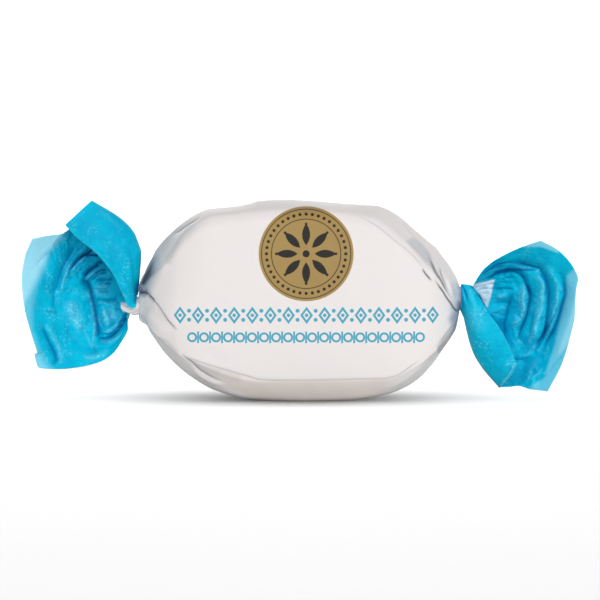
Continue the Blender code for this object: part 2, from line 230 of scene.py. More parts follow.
BOTTOM_DEPTH = [(-35.0, 0.8), (-32.0, 2.6), (-24.0, 4.6), (-10.0, 6.3), (10.0, 6.3), (24.0, 4.4),
                (32.0, 2.4), (35.0, 0.8)]

# The sides of a cross-section, from the top fold round by the front: pieces, crown in the middle of the
# wrapper and at the twists, and rounding of the corner that it starts from.
SIDES = [(34, 0.3, -0.7, 1.2), (142, 0.4, -0.25, 2.6), (32, 0.12, -0.5, 0.16), (20, 0.0, 0.3, 1.4),
         (14, 0.45, -0.5, 1.1), (60, 0.45, -0.25, 1.5), (22, 0.6, -0.7, 1.5)]
# How far the top fold lies back, as a share of the face's depth, how far the corners behind lie inside
# those in front, and how far the first and last stations stand off the twists, as a share of all.
TOP_SHIFT = 0.12
REAR_DROP = 0.4
END_SHARE = 0.012
# A side shorter than this is crowned less, a corner is rounded over no more than this share of its sides,
# and the crown changes over this distance from a twist.
CROWNED_SIDE = 6.0
ROUNDED_SHARE = 0.45
TWIST_REACH = 13.0

# The twisted stems, at the left (-1) and at the right (1): where they start, their heights and lengths,
# their rings, radius, taper and its end, and how far they sway and rise at their start, middle and tip.
STEM_START = 35.25
STEMS = {-1.0: 20.2, 1.0: 21.8}
STEM_LENGTHS = {-1.0: 3.6, 1.0: 2.6}
STEM_ROWS = 18
STEM_RADIUS = 1.8
STEM_TAPER, TAPER_END = 0.66, 0.6
STEM_SWAY = [0.0, -0.7, -1.0]
STEM_RISE = {-1.0: [0.0, -1.0, -0.1], 1.0: [0.0, 0.2, 0.4]}
# Their flutes and the finer ribs between them: count, depth as a share of the radius, and turn in radians.
# The flutes grow deeper towards the tip.
FLUTES, FLUTE_DEPTH, FLUTE_GROWTH, FLUTE_TURN = 4, 0.06, 0.12, 3.2
RIBS, RIB_DEPTH, RIB_TURN = 9.0, 0.05, 5.0

# Folds in the front of the wrapped middle, along lines in the front view. Their dark lines are painted
# shade.
FRONT_FOLDS = [
    # the deep crease from the left twist, with the rounded cheek below it
    fold([(-35.2, 22.6), (-34.2, 23.1), (-33.2, 22.9), (-32.2, 22.0), (-31.4, 21.1), (-30.4, 19.8),
          (-29.6, 18.5), (-28.7, 17.1), (-27.7, 15.9), (-26.6, 14.6)], 0.5, 0.85, 0.05, 0.2,
          dark=(0.9, 0.2), reach=3.0),
    fold([(-33.4, 22.6), (-32.4, 21.9), (-31.6, 21.0)], 0.4, -0.3, 0.3, 0.3, dark=(0.8, 0.35)),
    fold([(-34.4, 19.4), (-32.6, 17.8), (-30.6, 15.4), (-28.2, 13.4)], 1.3, 0.55, 0.3, 0.4),
    fold([(-35.0, 18.6), (-33.8, 17.4), (-32.6, 15.0)], 0.4, -0.2, 0.2, 0.4, dark=(0.15, 0.3)),
    # the gusset above the left twist
    fold([(-31.0, 31.4), (-32.4, 29.3), (-33.3, 27.6), (-34.0, 26.4), (-34.9, 25.0)], 0.7, -0.5, 0.6, 0.05,
          dark=(0.95, 0.55)),
    fold([(-31.0, 29.4), (-32.0, 27.6), (-33.2, 26.0), (-34.6, 24.4)], 0.7, -0.3, 0.6, 0.1,
          dark=(0.6, 0.8)),
    fold([(-34.8, 23.4), (-33.6, 23.2), (-32.4, 23.4)], 0.5, -0.3, 0.1, 0.4, dark=(0.55, 0.7)),
    fold([(-28.6, 29.6), (-29.8, 28.2), (-31.2, 26.8), (-32.4, 25.6), (-33.8, 24.6)], 0.45, 0.4, 0.2, 0.3),
    fold([(-21.1, 39.9), (-22.4, 39.1), (-24.4, 37.9), (-26.4, 36.5), (-28.1, 35.5)], 0.3, -0.5, 0.3, 0.3,
          dark=(0.75, 0.17)),
    # the front sheet's lower edge, over the pocket at the lower left
    fold([(-26.2, 10.1), (-24.9, 8.8), (-23.7, 7.8), (-22.0, 6.35), (-20.4, 5.3), (-18.4, 4.3),
          (-16.9, 3.8), (-15.7, 3.5)], 0.22, -0.3, 0.15, 0.35, dark=(0.75, 0.15)),
    fold([(-24.2, 7.3), (-22.4, 5.7), (-20.6, 4.5), (-18.4, 3.5), (-16.2, 2.9)], 0.5, 0.55, 0.3, 0.3),
    fold([(-25.0, 8.95), (-24.5, 8.8), (-20.6, 7.5), (-16.4, 6.25), (-12.0, 5.0), (-8.2, 4.1), (0.0, 3.9),
          (12.8, 4.2), (17.7, 4.3), (20.2, 4.8), (22.0, 5.7), (23.5, 6.8), (25.4, 8.1), (27.2, 9.3)], 0.22,
          -0.12, 0.02, 0.1, dark=(0.42, 0.16)),
    fold([(-31.4, 14.0), (-29.4, 12.3), (-27.7, 10.8), (-26.0, 9.8)], 0.5, -0.3, 0.3, 0.3,
          dark=(0.25, 0.25)),
    # long folds from the top right down to the right twist
    fold([(10.8, 40.4), (13.6, 39.0), (15.5, 38.0), (17.1, 36.9), (18.7, 35.6), (20.6, 34.0), (22.3, 32.7),
          (24.1, 31.2), (25.0, 30.2), (26.0, 29.1), (26.6, 28.0)], 0.3, 0.22, 0.3, 0.1, dark=(0.3, 0.14),
          reach=2.4),
    fold([(26.3, 28.4), (27.0, 27.3), (27.9, 26.2), (28.4, 25.4)], 0.3, -0.45, 0.25, 0.25, dark=(1.0, 0.2)),
    fold([(27.1, 32.2), (27.5, 31.1), (28.0, 29.4), (28.7, 27.7), (29.4, 26.5), (30.3, 25.3), (31.2, 24.0),
          (32.2, 22.6)], 0.22, 0.3, 0.4, 0.3, dark=(0.9, 0.14), reach=1.2),
    fold([(30.0, 28.6), (30.5, 26.9), (31.0, 25.4), (31.5, 24.2), (32.2, 22.6)], 0.25, -0.35, 0.2, 0.4,
          dark=(0.6, 0.15)),
    fold([(28.6, 26.5), (29.9, 24.3), (30.7, 23.2), (31.5, 21.9), (32.3, 20.8), (33.2, 19.5), (34.2, 18.8)],
          0.22, 0.3, 0.35, 0.05, dark=(1.0, 0.15), reach=1.2),
    fold([(20.3, 38.9), (21.2, 38.3), (22.5, 37.2), (23.8, 35.9), (25.4, 34.3), (26.2, 33.6)], 0.4, -0.25,
          0.3, 0.3, dark=(0.25, 0.25), reach=1.4),
    # the ridge below the right twist
    fold([(16.6, 1.9), (19.4, 2.6), (22.0, 3.9), (24.0, 5.3), (26.0, 6.9), (27.9, 8.6)], 0.5, 0.25, 0.3,
          0.3),
    # slivers between the folds at the right twist
    fold([(27.0, 31.4), (28.4, 28.6), (29.8, 26.0), (31.4, 23.6)], 0.25, 0.3, 0.3, 0.3),
    fold([(31.3, 27.0), (31.9, 25.0), (32.6, 23.2), (33.4, 21.6)], 0.3, 0.3, 0.3, 0.3),
    fold([(29.6, 27.3), (30.2, 25.9), (31.0, 24.4), (31.9, 22.8), (32.8, 21.4)], 0.2, -0.25, 0.3, 0.3,
          dark=(0.5, 0.12)),
    # the shade at the tip of the right twist, and the front sheet's edge below it
    fold([(35.0, 21.4), (34.4, 19.6), (33.6, 17.8)], 0.6, -0.2, 0.2, 0.5, dark=(0.6, 0.9)),
    fold([(34.4, 18.0), (33.8, 16.8), (33.0, 15.8), (31.8, 14.4), (30.8, 13.1), (29.8, 11.8), (28.6, 10.4)],
          0.25, -0.2, 0.1, 0.4, dark=(0.6, 0.16)),
    # soft dents in the face
    fold([(-23.2, 11.4), (-19.6, 9.4), (-14.6, 7.0)], 1.6, -0.22, 0.4, 0.5),
    fold([(20.5, 8.0), (23.8, 10.2), (26.0, 12.6)], 1.6, -0.14, 0.4, 0.5),
]

# Folds in the back: the overlap where the sheet's two long edges meet, and the folds from its twists.
BACK_FOLDS = [
    fold([(33.4, 21.6), (26.0, 19.4), (12.0, 17.6), (-8.0, 17.2), (-24.0, 18.6), (-33.6, 20.6)], 0.6, 0.45,
          0.04, 0.04, dark=(0.3, 0.55), reach=5.0),
    fold([(-34.0, 22.8), (-30.2, 26.4), (-25.4, 29.0), (-20.6, 30.6)], 0.6, 0.6, 0.1, 0.4, dark=(0.5, 0.25),
          reach=2.6),
    fold([(-33.9, 18.6), (-30.4, 14.2), (-25.6, 10.8)], 0.5, -0.5, 0.1, 0.4, dark=(0.4, 0.3)),
    fold([(34.0, 22.6), (30.6, 27.4), (26.0, 31.8), (21.4, 34.6)], 0.5, -0.5, 0.1, 0.4, dark=(0.5, 0.25),
          reach=2.4),
    fold([(33.9, 19.4), (31.0, 14.6), (26.4, 10.4)], 0.6, -0.45, 0.1, 0.4, dark=(0.35, 0.5)),
    fold([(-33.2, 24.6), (-28.0, 31.4), (-20.0, 37.4), (-9.0, 40.0)], 0.9, -0.5, 0.1, 0.4, dark=(0.2, 0.6),
          reach=4.0),
    fold([(33.0, 20.8), (28.0, 22.4), (22.0, 24.6), (15.0, 25.6)], 0.8, -0.5, 0.1, 0.5, dark=(0.2, 0.6)),
    fold([(-33.2, 21.4), (-27.0, 22.8), (-19.0, 23.2)], 0.8, 0.5, 0.1, 0.5),
    fold([(-20.0, 9.4), (-6.0, 6.2), (9.0, 6.4), (22.0, 10.0)], 1.1, 0.45, 0.3, 0.3),
    fold([(-4.0, 36.8), (9.0, 35.2), (19.0, 30.4)], 1.6, -0.35, 0.4, 0.4),
]

# Where the paper is darker, each with how dark, how soft its edge is and its corners (x, z): double at the
# upper right, drawn in over the blue ends at both twists, where the grey is partly painted shade, and turned
# under at the lower corners, where it is painted shade.
DOUBLE_PLY_AND_SHADE = [
    (0.75, 0.7, [(22.7, 34.1), (26.6, 29.9), (28.2, 28.3), (29.3, 27.7), (28.5, 29.9), (27.9, 31.6),
                 (26.0, 33.8), (24.1, 35.0)]),
    (0.95, 2.4, [(-35.5, 22.6), (-32.6, 22.8), (-30.2, 29.0), (-30.6, 32.0), (-35.5, 30.0)]),
    (0.45, 4.0, [(-33.0, 26.0), (-29.8, 30.4), (-26.2, 34.4), (-23.6, 38.0), (-27.0, 42.0), (-35.0, 34.0)]),
    (0.5, 1.4, [(32.4, 14.6), (36.0, 14.0), (36.0, 21.6), (32.6, 21.2)]),
    (0.12, 1.0, [(-34.0, 16.0), (-24.0, 4.0), (-14.0, 0.0), (-20.4, 5.0), (-26.0, 9.6), (-31.6, 14.4)]),
]
# Shades that lie on the paper where it turns away, as darkness of the crease colour.
SHADES = [
    (0.52, 0.5, [(33.9, 16.9), (33.0, 15.8), (30.9, 13.2), (29.5, 11.2), (29.6, 10.0), (31.0, 9.6),
                 (35.0, 15.6)]),
    (0.07, 0.8, [(29.6, 11.6), (27.2, 9.2), (28.0, 8.0), (29.8, 9.8)]),
    (0.34, 1.8, [(35.8, 20.6), (33.8, 19.6), (32.0, 17.2), (32.8, 15.8), (35.8, 18.4)]),
    (0.22, 1.2, [(-24.9, 9.0), (-20.6, 7.4), (-17.2, 6.4), (-17.6, 4.6), (-20.4, 5.6), (-23.6, 7.9)]),
    (0.14, 1.4, [(-18.6, 6.8), (-12.8, 5.1), (-13.4, 3.6), (-18.2, 4.6)]),
]
# Where the blue of the twisted ends shows through the paper, deepened with painted shade where the paper is
# drawn into the twists.
BLUE_TINT_AND_SHADE = [
    (0.9, 1.4, [(-35.4, 24.8), (-33.6, 24.0), (-32.6, 22.9), (-33.8, 22.2), (-35.4, 22.2)]),
    (0.95, 2.2, [(35.6, 22.0), (34.2, 20.4), (32.6, 17.6), (33.2, 16.2), (35.6, 18.6)]),
    (0.35, 2.0, [(35.6, 26.0), (33.6, 26.0), (32.4, 22.6), (34.0, 20.4), (35.6, 20.4)]),
]
# The band below the front fold, where the biscuit shows through the paper: how far it runs from the middle,
# over which length it fades there, and how soft its edges are.
WARM_REACH, WARM_FADE, WARM_EDGE = 21.0, 8.0, 0.5
WARM_BAND = [(-23.5, 8.6), (-18.0, 3.6), (-8.0, -0.6), (16.0, -0.6), (24.0, 6.2), (17.8, 4.5), (-8.2, 3.9)]


def share_of(x):
    """Where x lies between the twists: stations crowd towards both, as a cosine does."""
    return np.arccos(np.clip(-np.asarray(x, float) / HALF_LENGTH, -1.0, 1.0)) / math.pi


def rail(points):
    """A rail's height or depth, as a function of the share from the left twist."""
    return curve_through(share_of([x for x, _ in points]), [value for _, value in points])


def cross_sections(share):
    """The wrapped middle's outlines, as (station, place round it, (y, z)), with their corners rounded."""
    face, foot = rail(FACE_DEPTH)(share), rail(BOTTOM_DEPTH)(share)
    rails = (TOP, FACE_TOP, FACE_BOTTOM, BOTTOM)
    top, face_top, face_bottom, bottom = (rail(points)(share) for points in rails)
    drop = REAR_DROP * np.sin(math.pi * share)
    corners = np.array([
        (TOP_SHIFT * face, top), (-face, face_top), (-face, face_bottom), (-foot, bottom),
        (foot, bottom), (face, face_bottom + drop), (face, face_top - drop),
    ]).transpose(2, 0, 1)
    steps = np.roll(corners, -1, axis=1) - corners
    lengths = np.linalg.norm(steps, axis=2)
    ways = steps / lengths[..., None]
    shortest = np.minimum(lengths, np.roll(lengths, 1, axis=1))
    reach = np.minimum([side[3] for side in SIDES], ROUNDED_SHARE * shortest)
    bends = (ways - np.roll(ways, 1, axis=1)) * reach[..., None] / 4.0
    drawn_in = 1.0 - smooth(from_twist(share) / TWIST_REACH)
    outline = []
    for i, (pieces, crown_mid, crown_twist, _) in enumerate(SIDES):
        after = (i + 1) % len(SIDES)
        length = lengths[:, i]
        out = np.stack([ways[:, i, 1], -ways[:, i, 0]], axis=1)
        crown = (crown_mid + (crown_twist - crown_mid) * drawn_in) * np.minimum(1.0, length / CROWNED_SIDE)
        for k in range(pieces):
            s = k / pieces
            place = corners[:, i] + steps[:, i] * s + out * (crown * 4.0 * s * (1.0 - s))[:, None]
            for corner, distance in ((i, s * length), (after, (1.0 - s) * length)):
                nearness = np.clip(1.0 - distance / reach[:, corner], 0.0, 1.0)
                place = place + bends[:, corner] * (nearness ** 2)[:, None]
            outline.append(place)
    return np.stack(outline, axis=1)


def from_twist(share):
    """How far in from the nearer twist a station is."""
    return HALF_LENGTH * (1.0 - np.abs(np.cos(math.pi * share)))


# The gathers at the twists: the wide ones behind, with their count, height and sharpness, and the fine ones,
# with their count, their height in front, what is added to it behind, and how far they run.
GATHERS, GATHER_HEIGHT, GATHER_SHARPNESS = 8.0, 0.34, 0.7
FINE_GATHERS, FINE_HEIGHT, FINE_BEHIND, FINE_REACH = 19.0, 0.03, 0.09, 4.0
# The waves that shift them, as (count round the paper, height, turn at a side), how much they shift the wide
# and the fine ones, and how the fine ones slant. At the twist they swirl by an angle, over a distance.
GATHER_WAVES = [(2.0, 0.55, 1.0), (3.0, 0.4, 2.0), (5.0, 0.25, 0.0)]
WIDE_SHIFT, FINE_SHIFT, FINE_SLANT = 2.2, 4.0, 0.4
GATHER_SWIRL, SWIRL_REACH = 0.5, 3.0
# How far the wide ones run, with its own waves, how strong they start, and over which length they rise.
GATHER_REACH = 7.0
REACH_WAVES = [(3.0, 3.5, 1.0), (7.0, 2.0, 0.0)]
GATHER_START, GATHER_RISE = 0.25, 1.5
# Front passes into back over this depth, and a row of ridges is this high on the average.
SIDE_BLEND = 2.0
MEAN_RIDGE = 0.6


def waves_round(angle, side, waves, mean=0.0):
    """The sum of sine waves round the paper, over their mean."""
    return sum((height * np.sin(count * angle + turn * side) for count, height, turn in waves), mean)


def gathers(points, share):
    """The small gathers that run out from both twists, as a height. They are fewer and lower in front."""
    around = np.linspace(0.0, 2.0 * math.pi, points.shape[1], endpoint=False)
    side = np.where(share < 0.5, -1.0, 1.0)[:, None]
    distance = from_twist(share)[:, None]
    angle = around[None, :] + side * GATHER_SWIRL * np.exp(-distance / SWIRL_REACH)
    wobble = waves_round(angle, side, GATHER_WAVES)
    ridges = np.abs(np.sin(GATHERS * angle + WIDE_SHIFT * wobble)) ** GATHER_SHARPNESS - MEAN_RIDGE
    fine = np.abs(np.sin(FINE_GATHERS * angle + FINE_SHIFT * wobble + FINE_SLANT * distance)) - MEAN_RIDGE
    behind = smooth(0.5 + points[..., 1] / SIDE_BLEND)
    reach = waves_round(angle, side, REACH_WAVES, GATHER_REACH) * (0.5 + 0.5 * behind)
    near = np.exp(-(distance / reach) ** 2) * smooth(GATHER_START + distance / GATHER_RISE)
    fine = (FINE_HEIGHT + FINE_BEHIND * behind) * fine * np.exp(-(distance / FINE_REACH) ** 2)
    return GATHER_HEIGHT * behind * ridges * near + fine


def stem_sections(side, angles):
    """The rings of one stem: a twisted rope of paper that thins towards its tip."""
    t = np.linspace(0.0, 1.0, STEM_ROWS)[:, None]
    radius = STEM_RADIUS * (1.0 - STEM_TAPER * smooth(t / TAPER_END))
    flutes = (FLUTE_DEPTH + FLUTE_GROWTH * t) * np.cos(FLUTES * angles[None, :] + side * FLUTE_TURN * t)
    ribs = RIB_DEPTH * np.cos(RIBS * angles[None, :] + side * RIB_TURN * t)
    turned = radius * (1.0 + flutes + ribs)
    x = side * (STEM_START + STEM_LENGTHS[side] * t) * np.ones_like(turned)
    across, up = (curve_through([0.0, 0.5, 1.0], way)(t) for way in (STEM_SWAY, STEM_RISE[side]))
    y = across + turned * np.cos(angles)[None, :]
    z = STEMS[side] + up + turned * np.sin(angles)[None, :]
    return np.stack([x, y, z], axis=-1)


def outward_normals(points):
    """Unit normals of a closed tube of points, as (station, place round it)."""
    along = np.gradient(points, axis=0)
    around = np.roll(points, -1, axis=1) - np.roll(points, 1, axis=1)
    normals = np.cross(along, around)
    normals /= np.linalg.norm(normals, axis=-1, keepdims=True) + 1e-12
    middle = points.mean(axis=1, keepdims=True)
    return normals * np.sign(np.sum(normals * (points - middle)))


def inside(x, z, corners, softness):
    """1 inside the corners of (x, z) and 0 outside, blended over the softness."""
    edge = np.full(x.shape, FAR)
    crossings = np.zeros(x.shape, bool)
    for (x0, z0), (x1, z1) in zip(corners, corners[1:] + corners[:1]):
        step_x, step_z = x1 - x0, z1 - z0
        t = np.clip(((x - x0) * step_x + (z - z0) * step_z) / (step_x ** 2 + step_z ** 2), 0.0, 1.0)
        edge = np.minimum(edge, np.hypot(x - x0 - t * step_x, z - z0 - t * step_z))
        if step_z:
            crossings ^= ((z0 > z) != (z1 > z)) & (x < x0 + (z - z0) * step_x / step_z)
    return smooth(0.5 + np.where(crossings, edge, -edge) / softness)


def strongest(x, z, zones):
    """The strongest of the zones at each place: each has its strength, its softness and its corners."""
    value = np.zeros(x.shape)
    for strength, softness, corners in zones:
        value = np.maximum(value, strength * inside(x, z, corners, softness))
    return value


# The paper's uneven surface: height, width and place in the noise, and how far beyond the twists it ends and
# over which length it fades.
PAPER_WAVES = [(0.09, 9.0, 0.0), (0.035, 2.6, 7.0)]
WAVES_END, WAVES_FADE = 0.2, 1.5
# From this much of its normal the paper counts as front or back, and fully after this much more.
FACING_START, FACING_RANGE = 0.02, 0.3
FRONT_ROUNDING = 0.6


def wrapped_points(rows):
    """The wrapped middle's points, with its layers: painted shade in creases, double paper and blue tint
    that are partly painted shade, and warm paper.
    """
    share = np.linspace(END_SHARE, 1.0 - END_SHARE, rows)
    outline = cross_sections(share)
    x = np.broadcast_to((-HALF_LENGTH * np.cos(math.pi * share))[:, None], outline.shape[:2])
    middle = np.concatenate([x[..., None], outline], axis=-1)
    stems = []
    for side, end in ((-1.0, middle[0]), (1.0, middle[-1])):
        centre = end.mean(axis=0)
        angles = np.unwrap(np.arctan2(end[:, 2] - centre[2], end[:, 1] - centre[1]))
        stems.append(stem_sections(side, angles))
    points = np.concatenate([stems[0][::-1], middle, stems[1]], axis=0)

    normals = outward_normals(points)
    front, back = (smooth((way * normals[..., 1] - FACING_START) / FACING_RANGE) for way in (-1.0, 1.0))
    height, dark, _ = fold_relief(*in_front_view(points), FRONT_FOLDS, FRONT_ROUNDING)
    back_height, back_dark, _ = fold_relief(points[..., 0], points[..., 2], BACK_FOLDS)
    height = height * front + back_height * back
    dark = dark * front + back_dark * back
    height[STEM_ROWS:-STEM_ROWS] += gathers(middle, share)
    away = smooth((HALF_LENGTH + WAVES_END - np.abs(points[..., 0])) / WAVES_FADE)
    for high, wide, seed in PAPER_WAVES:
        height += high * roughness_of(points, wide, seed) * away
    points = points + normals * height[..., None]
    points[..., 2] = np.maximum(points[..., 2], 0.0)
    x, z = in_front_view(points)
    # ply is double paper and partly painted shade, shade is painted shade, and tint is blue showing through
    # and partly painted shade
    ply, shade, tint_and_shade = (strongest(x, z, zones) for zones in (DOUBLE_PLY_AND_SHADE, SHADES, BLUE_TINT_AND_SHADE))
    warm = inside(x, z, WARM_BAND, WARM_EDGE) * smooth((WARM_REACH - np.abs(x)) / WARM_FADE)
    return points, {"crease_shade": np.maximum(dark, shade * front), "ply": ply * front, "warm": warm * front,
                    "tint_and_shade": tint_and_shade * front}


# Folds in the bowls, as on the wrapped middle: grooves below zero, ridges above it. Their dark lines are
# painted shade and their pale lines painted highlight.
RIGHT_FOLDS = [
    # the outer valley, and the ridge that meets it from above
    fold([(55.2, 28.6), (56.6, 26.0), (57.4, 22.9), (56.7, 20.1), (55.9, 17.3), (54.9, 14.8), (53.5, 12.5),
          (52.5, 10.7), (50.6, 8.4)], 0.55, -1.7, 0.3, 0.3, dark=(0.9, 0.42)),
    fold([(52.7, 29.1), (54.9, 25.9), (56.8, 23.0)], 0.5, 0.45, 0.3, 0.1),
    # the long arc over the top and down, and its ridges
    fold([(45.2, 29.8), (47.2, 29.6), (48.8, 29.1), (50.5, 28.6), (51.6, 28.4), (52.3, 27.4), (53.0, 26.2),
          (53.5, 24.9), (53.8, 22.9), (53.7, 20.1), (53.4, 17.3), (53.0, 14.6), (51.6, 12.5), (50.2, 10.6),
          (48.6, 9.6)], 0.42, -1.5, 0.12, 0.25, dark=(1.0, 0.26)),
    fold([(54.6, 25.6), (55.4, 23.5), (55.4, 21.1), (54.9, 19.4), (54.4, 16.9), (53.6, 14.4), (52.0, 12.2)],
          0.6, 0.8, 0.2, 0.3),
    fold([(39.2, 26.7), (40.4, 27.7), (42.3, 28.5), (44.4, 29.0)], 0.45, -0.7, 0.15, 0.3, dark=(0.8, 0.28)),
    fold([(39.6, 26.2), (42.0, 27.6), (45.0, 28.4), (48.6, 28.3), (51.0, 27.8)], 0.4, 0.4, 0.2, 0.3),
    fold([(43.6, 28.0), (45.0, 28.2), (46.6, 28.1), (48.3, 27.9), (49.8, 27.9), (51.2, 27.6)], 0.3, -0.5,
          0.2, 0.2, dark=(0.85, 0.22)),
    # the second arc
    fold([(39.6, 25.7), (40.7, 26.2), (42.2, 27.0), (43.8, 27.4), (45.8, 27.7), (47.3, 27.1), (48.2, 26.3),
          (48.8, 25.2), (49.3, 23.9), (49.8, 22.4), (49.4, 20.1), (49.1, 18.6), (48.4, 16.6), (47.7, 14.8),
          (47.4, 13.4), (48.0, 12.2), (48.4, 10.8)], 0.36, -1.5, 0.08, 0.2, dark=(1.0, 0.24)),
    fold([(49.0, 26.9), (51.4, 26.0), (52.3, 24.6), (52.1, 22.9), (51.9, 20.1), (51.0, 17.3), (50.5, 14.6),
          (49.4, 12.2), (48.6, 10.6)], 0.8, 1.2, 0.25, 0.3),
    # the panels by the throat
    fold([(48.4, 24.9), (48.0, 23.0), (47.8, 21.3), (48.1, 19.6), (47.9, 18.2), (46.6, 16.6), (45.4, 15.4)],
          0.7, 1.2, 0.25, 0.4),
    fold([(46.1, 23.3), (45.5, 21.6), (45.0, 19.7), (44.5, 17.3), (44.1, 16.0), (44.4, 14.4), (44.3, 12.8)],
          0.6, -1.5, 0.3, 0.2, dark=(0.85, 0.35)),
    fold([(43.4, 26.1), (45.2, 26.2), (47.0, 26.1)], 0.35, -0.4, 0.3, 0.3, dark=(0.55, 0.22)),
    fold([(41.9, 23.7), (44.0, 23.9), (46.6, 23.6)], 0.35, -0.4, 0.2, 0.3, dark=(0.6, 0.22)),
    fold([(42.0, 21.9), (43.6, 22.4), (45.0, 23.0)], 0.7, 0.5, 0.3, 0.4),
    fold([(40.2, 19.0), (41.6, 17.3), (43.4, 15.6), (44.6, 12.8), (45.6, 10.4)], 0.8, -0.9, 0.2, 0.3,
          dark=(0.6, 0.5)),
    # where the light catches the crumpled paper
    fold([(47.9, 25.4), (48.0, 22.6), (47.8, 20.4), (47.0, 18.2)], 1.0, 0.0, 0.2, 0.3, pale=(0.45, 0.9)),
    fold([(46.2, 18.6), (46.6, 16.8), (46.2, 14.8)], 0.2, 0.2, 0.2, 0.3, pale=(0.5, 0.4)),
    fold([(51.9, 23.4), (51.6, 20.2), (50.9, 17.6)], 1.0, 0.0, 0.3, 0.3, pale=(0.45, 0.9)),
    fold([(55.6, 21.6), (55.2, 18.8), (54.4, 16.4)], 1.0, 0.0, 0.3, 0.3, pale=(0.25, 0.6)),
    fold([(42.4, 22.4), (43.0, 21.4)], 1.0, 0.0, 0.3, 0.3, pale=(0.4, 0.8)),
    # small pleats over the throat
    fold([(38.4, 27.4), (40.2, 28.9), (42.4, 29.8), (44.8, 30.4)], 0.3, -0.5, 0.2, 0.4, dark=(0.6, 0.2)),
    fold([(41.6, 26.9), (43.4, 27.6), (45.6, 28.0)], 0.25, -0.4, 0.3, 0.3, dark=(0.6, 0.16)),
    fold([(42.4, 25.2), (44.4, 25.2), (46.2, 24.8)], 0.25, -0.35, 0.2, 0.4, dark=(0.5, 0.16)),
    fold([(41.4, 20.8), (43.2, 20.8), (45.0, 21.4)], 0.25, -0.35, 0.2, 0.4, dark=(0.5, 0.16)),
    fold([(41.6, 18.8), (43.4, 18.2), (45.0, 18.0)], 0.3, -0.35, 0.2, 0.4, dark=(0.5, 0.18)),
    fold([(53.6, 17.0), (53.0, 14.0), (51.4, 11.4), (49.8, 9.6)], 0.3, -0.5, 0.3, 0.3, dark=(0.6, 0.2)),
    fold([(50.6, 20.6), (50.2, 17.6), (49.6, 15.0), (49.0, 13.0)], 0.3, -0.5, 0.3, 0.3, dark=(0.5, 0.2)),
    # below: the crosswise crease and the folds that run out to the end
    fold([(45.6, 8.6), (47.0, 8.5), (48.6, 8.6)], 0.3, -0.5, 0.2, 0.2, dark=(0.8, 0.22)),
    fold([(46.4, 9.6), (48.4, 9.4), (50.2, 11.0), (51.8, 13.0)], 0.5, 0.5, 0.3, 0.3),
    fold([(49.4, 9.6), (48.6, 7.6), (48.4, 6.4), (46.4, 5.2)], 0.5, -0.5, 0.2, 0.3, dark=(0.35, 0.5)),
    fold([(51.6, 9.4), (50.4, 7.4), (49.2, 4.6), (48.4, 3.0)], 0.7, 0.45, 0.3, 0.3),
    fold([(52.5, 6.8), (51.5, 5.5), (50.2, 4.5), (49.6, 4.0)], 0.2, 0.2, 0.2, 0.3, pale=(0.8, 0.22)),
    fold([(51.7, 3.9), (50.4, 2.9), (49.7, 3.1)], 0.2, 0.2, 0.2, 0.3, pale=(0.7, 0.2)),
    # the gap beside the throat
    fold([(38.3, 22.9), (38.9, 21.9), (39.4, 20.9), (39.9, 19.8)], 0.5, -0.6, 0.2, 0.2, dark=(1.0, 0.5)),
    # fine pleats beside the arcs
    fold([(40.6, 28.2), (42.6, 29.2), (45.2, 29.5), (47.6, 29.1), (49.4, 28.4)], 0.22, -0.45, 0.2, 0.3,
          dark=(0.9, 0.16)),
    fold([(41.0, 26.8), (43.0, 27.7), (45.6, 28.1), (47.6, 27.7), (48.8, 26.9)], 0.22, -0.45, 0.2, 0.3,
          dark=(0.9, 0.16)),
    fold([(51.2, 27.4), (52.6, 26.0), (53.1, 24.0), (53.0, 21.6)], 0.25, -0.4, 0.2, 0.4, dark=(0.7, 0.16)),
    fold([(56.0, 21.4), (55.0, 18.4), (53.6, 15.4), (52.0, 13.0), (50.2, 11.0)], 0.25, -0.4, 0.3, 0.3,
          dark=(0.8, 0.18)),
    fold([(49.0, 24.9), (49.5, 23.4), (49.9, 21.8)], 0.25, -0.5, 0.2, 0.4, dark=(1.0, 0.22)),
]
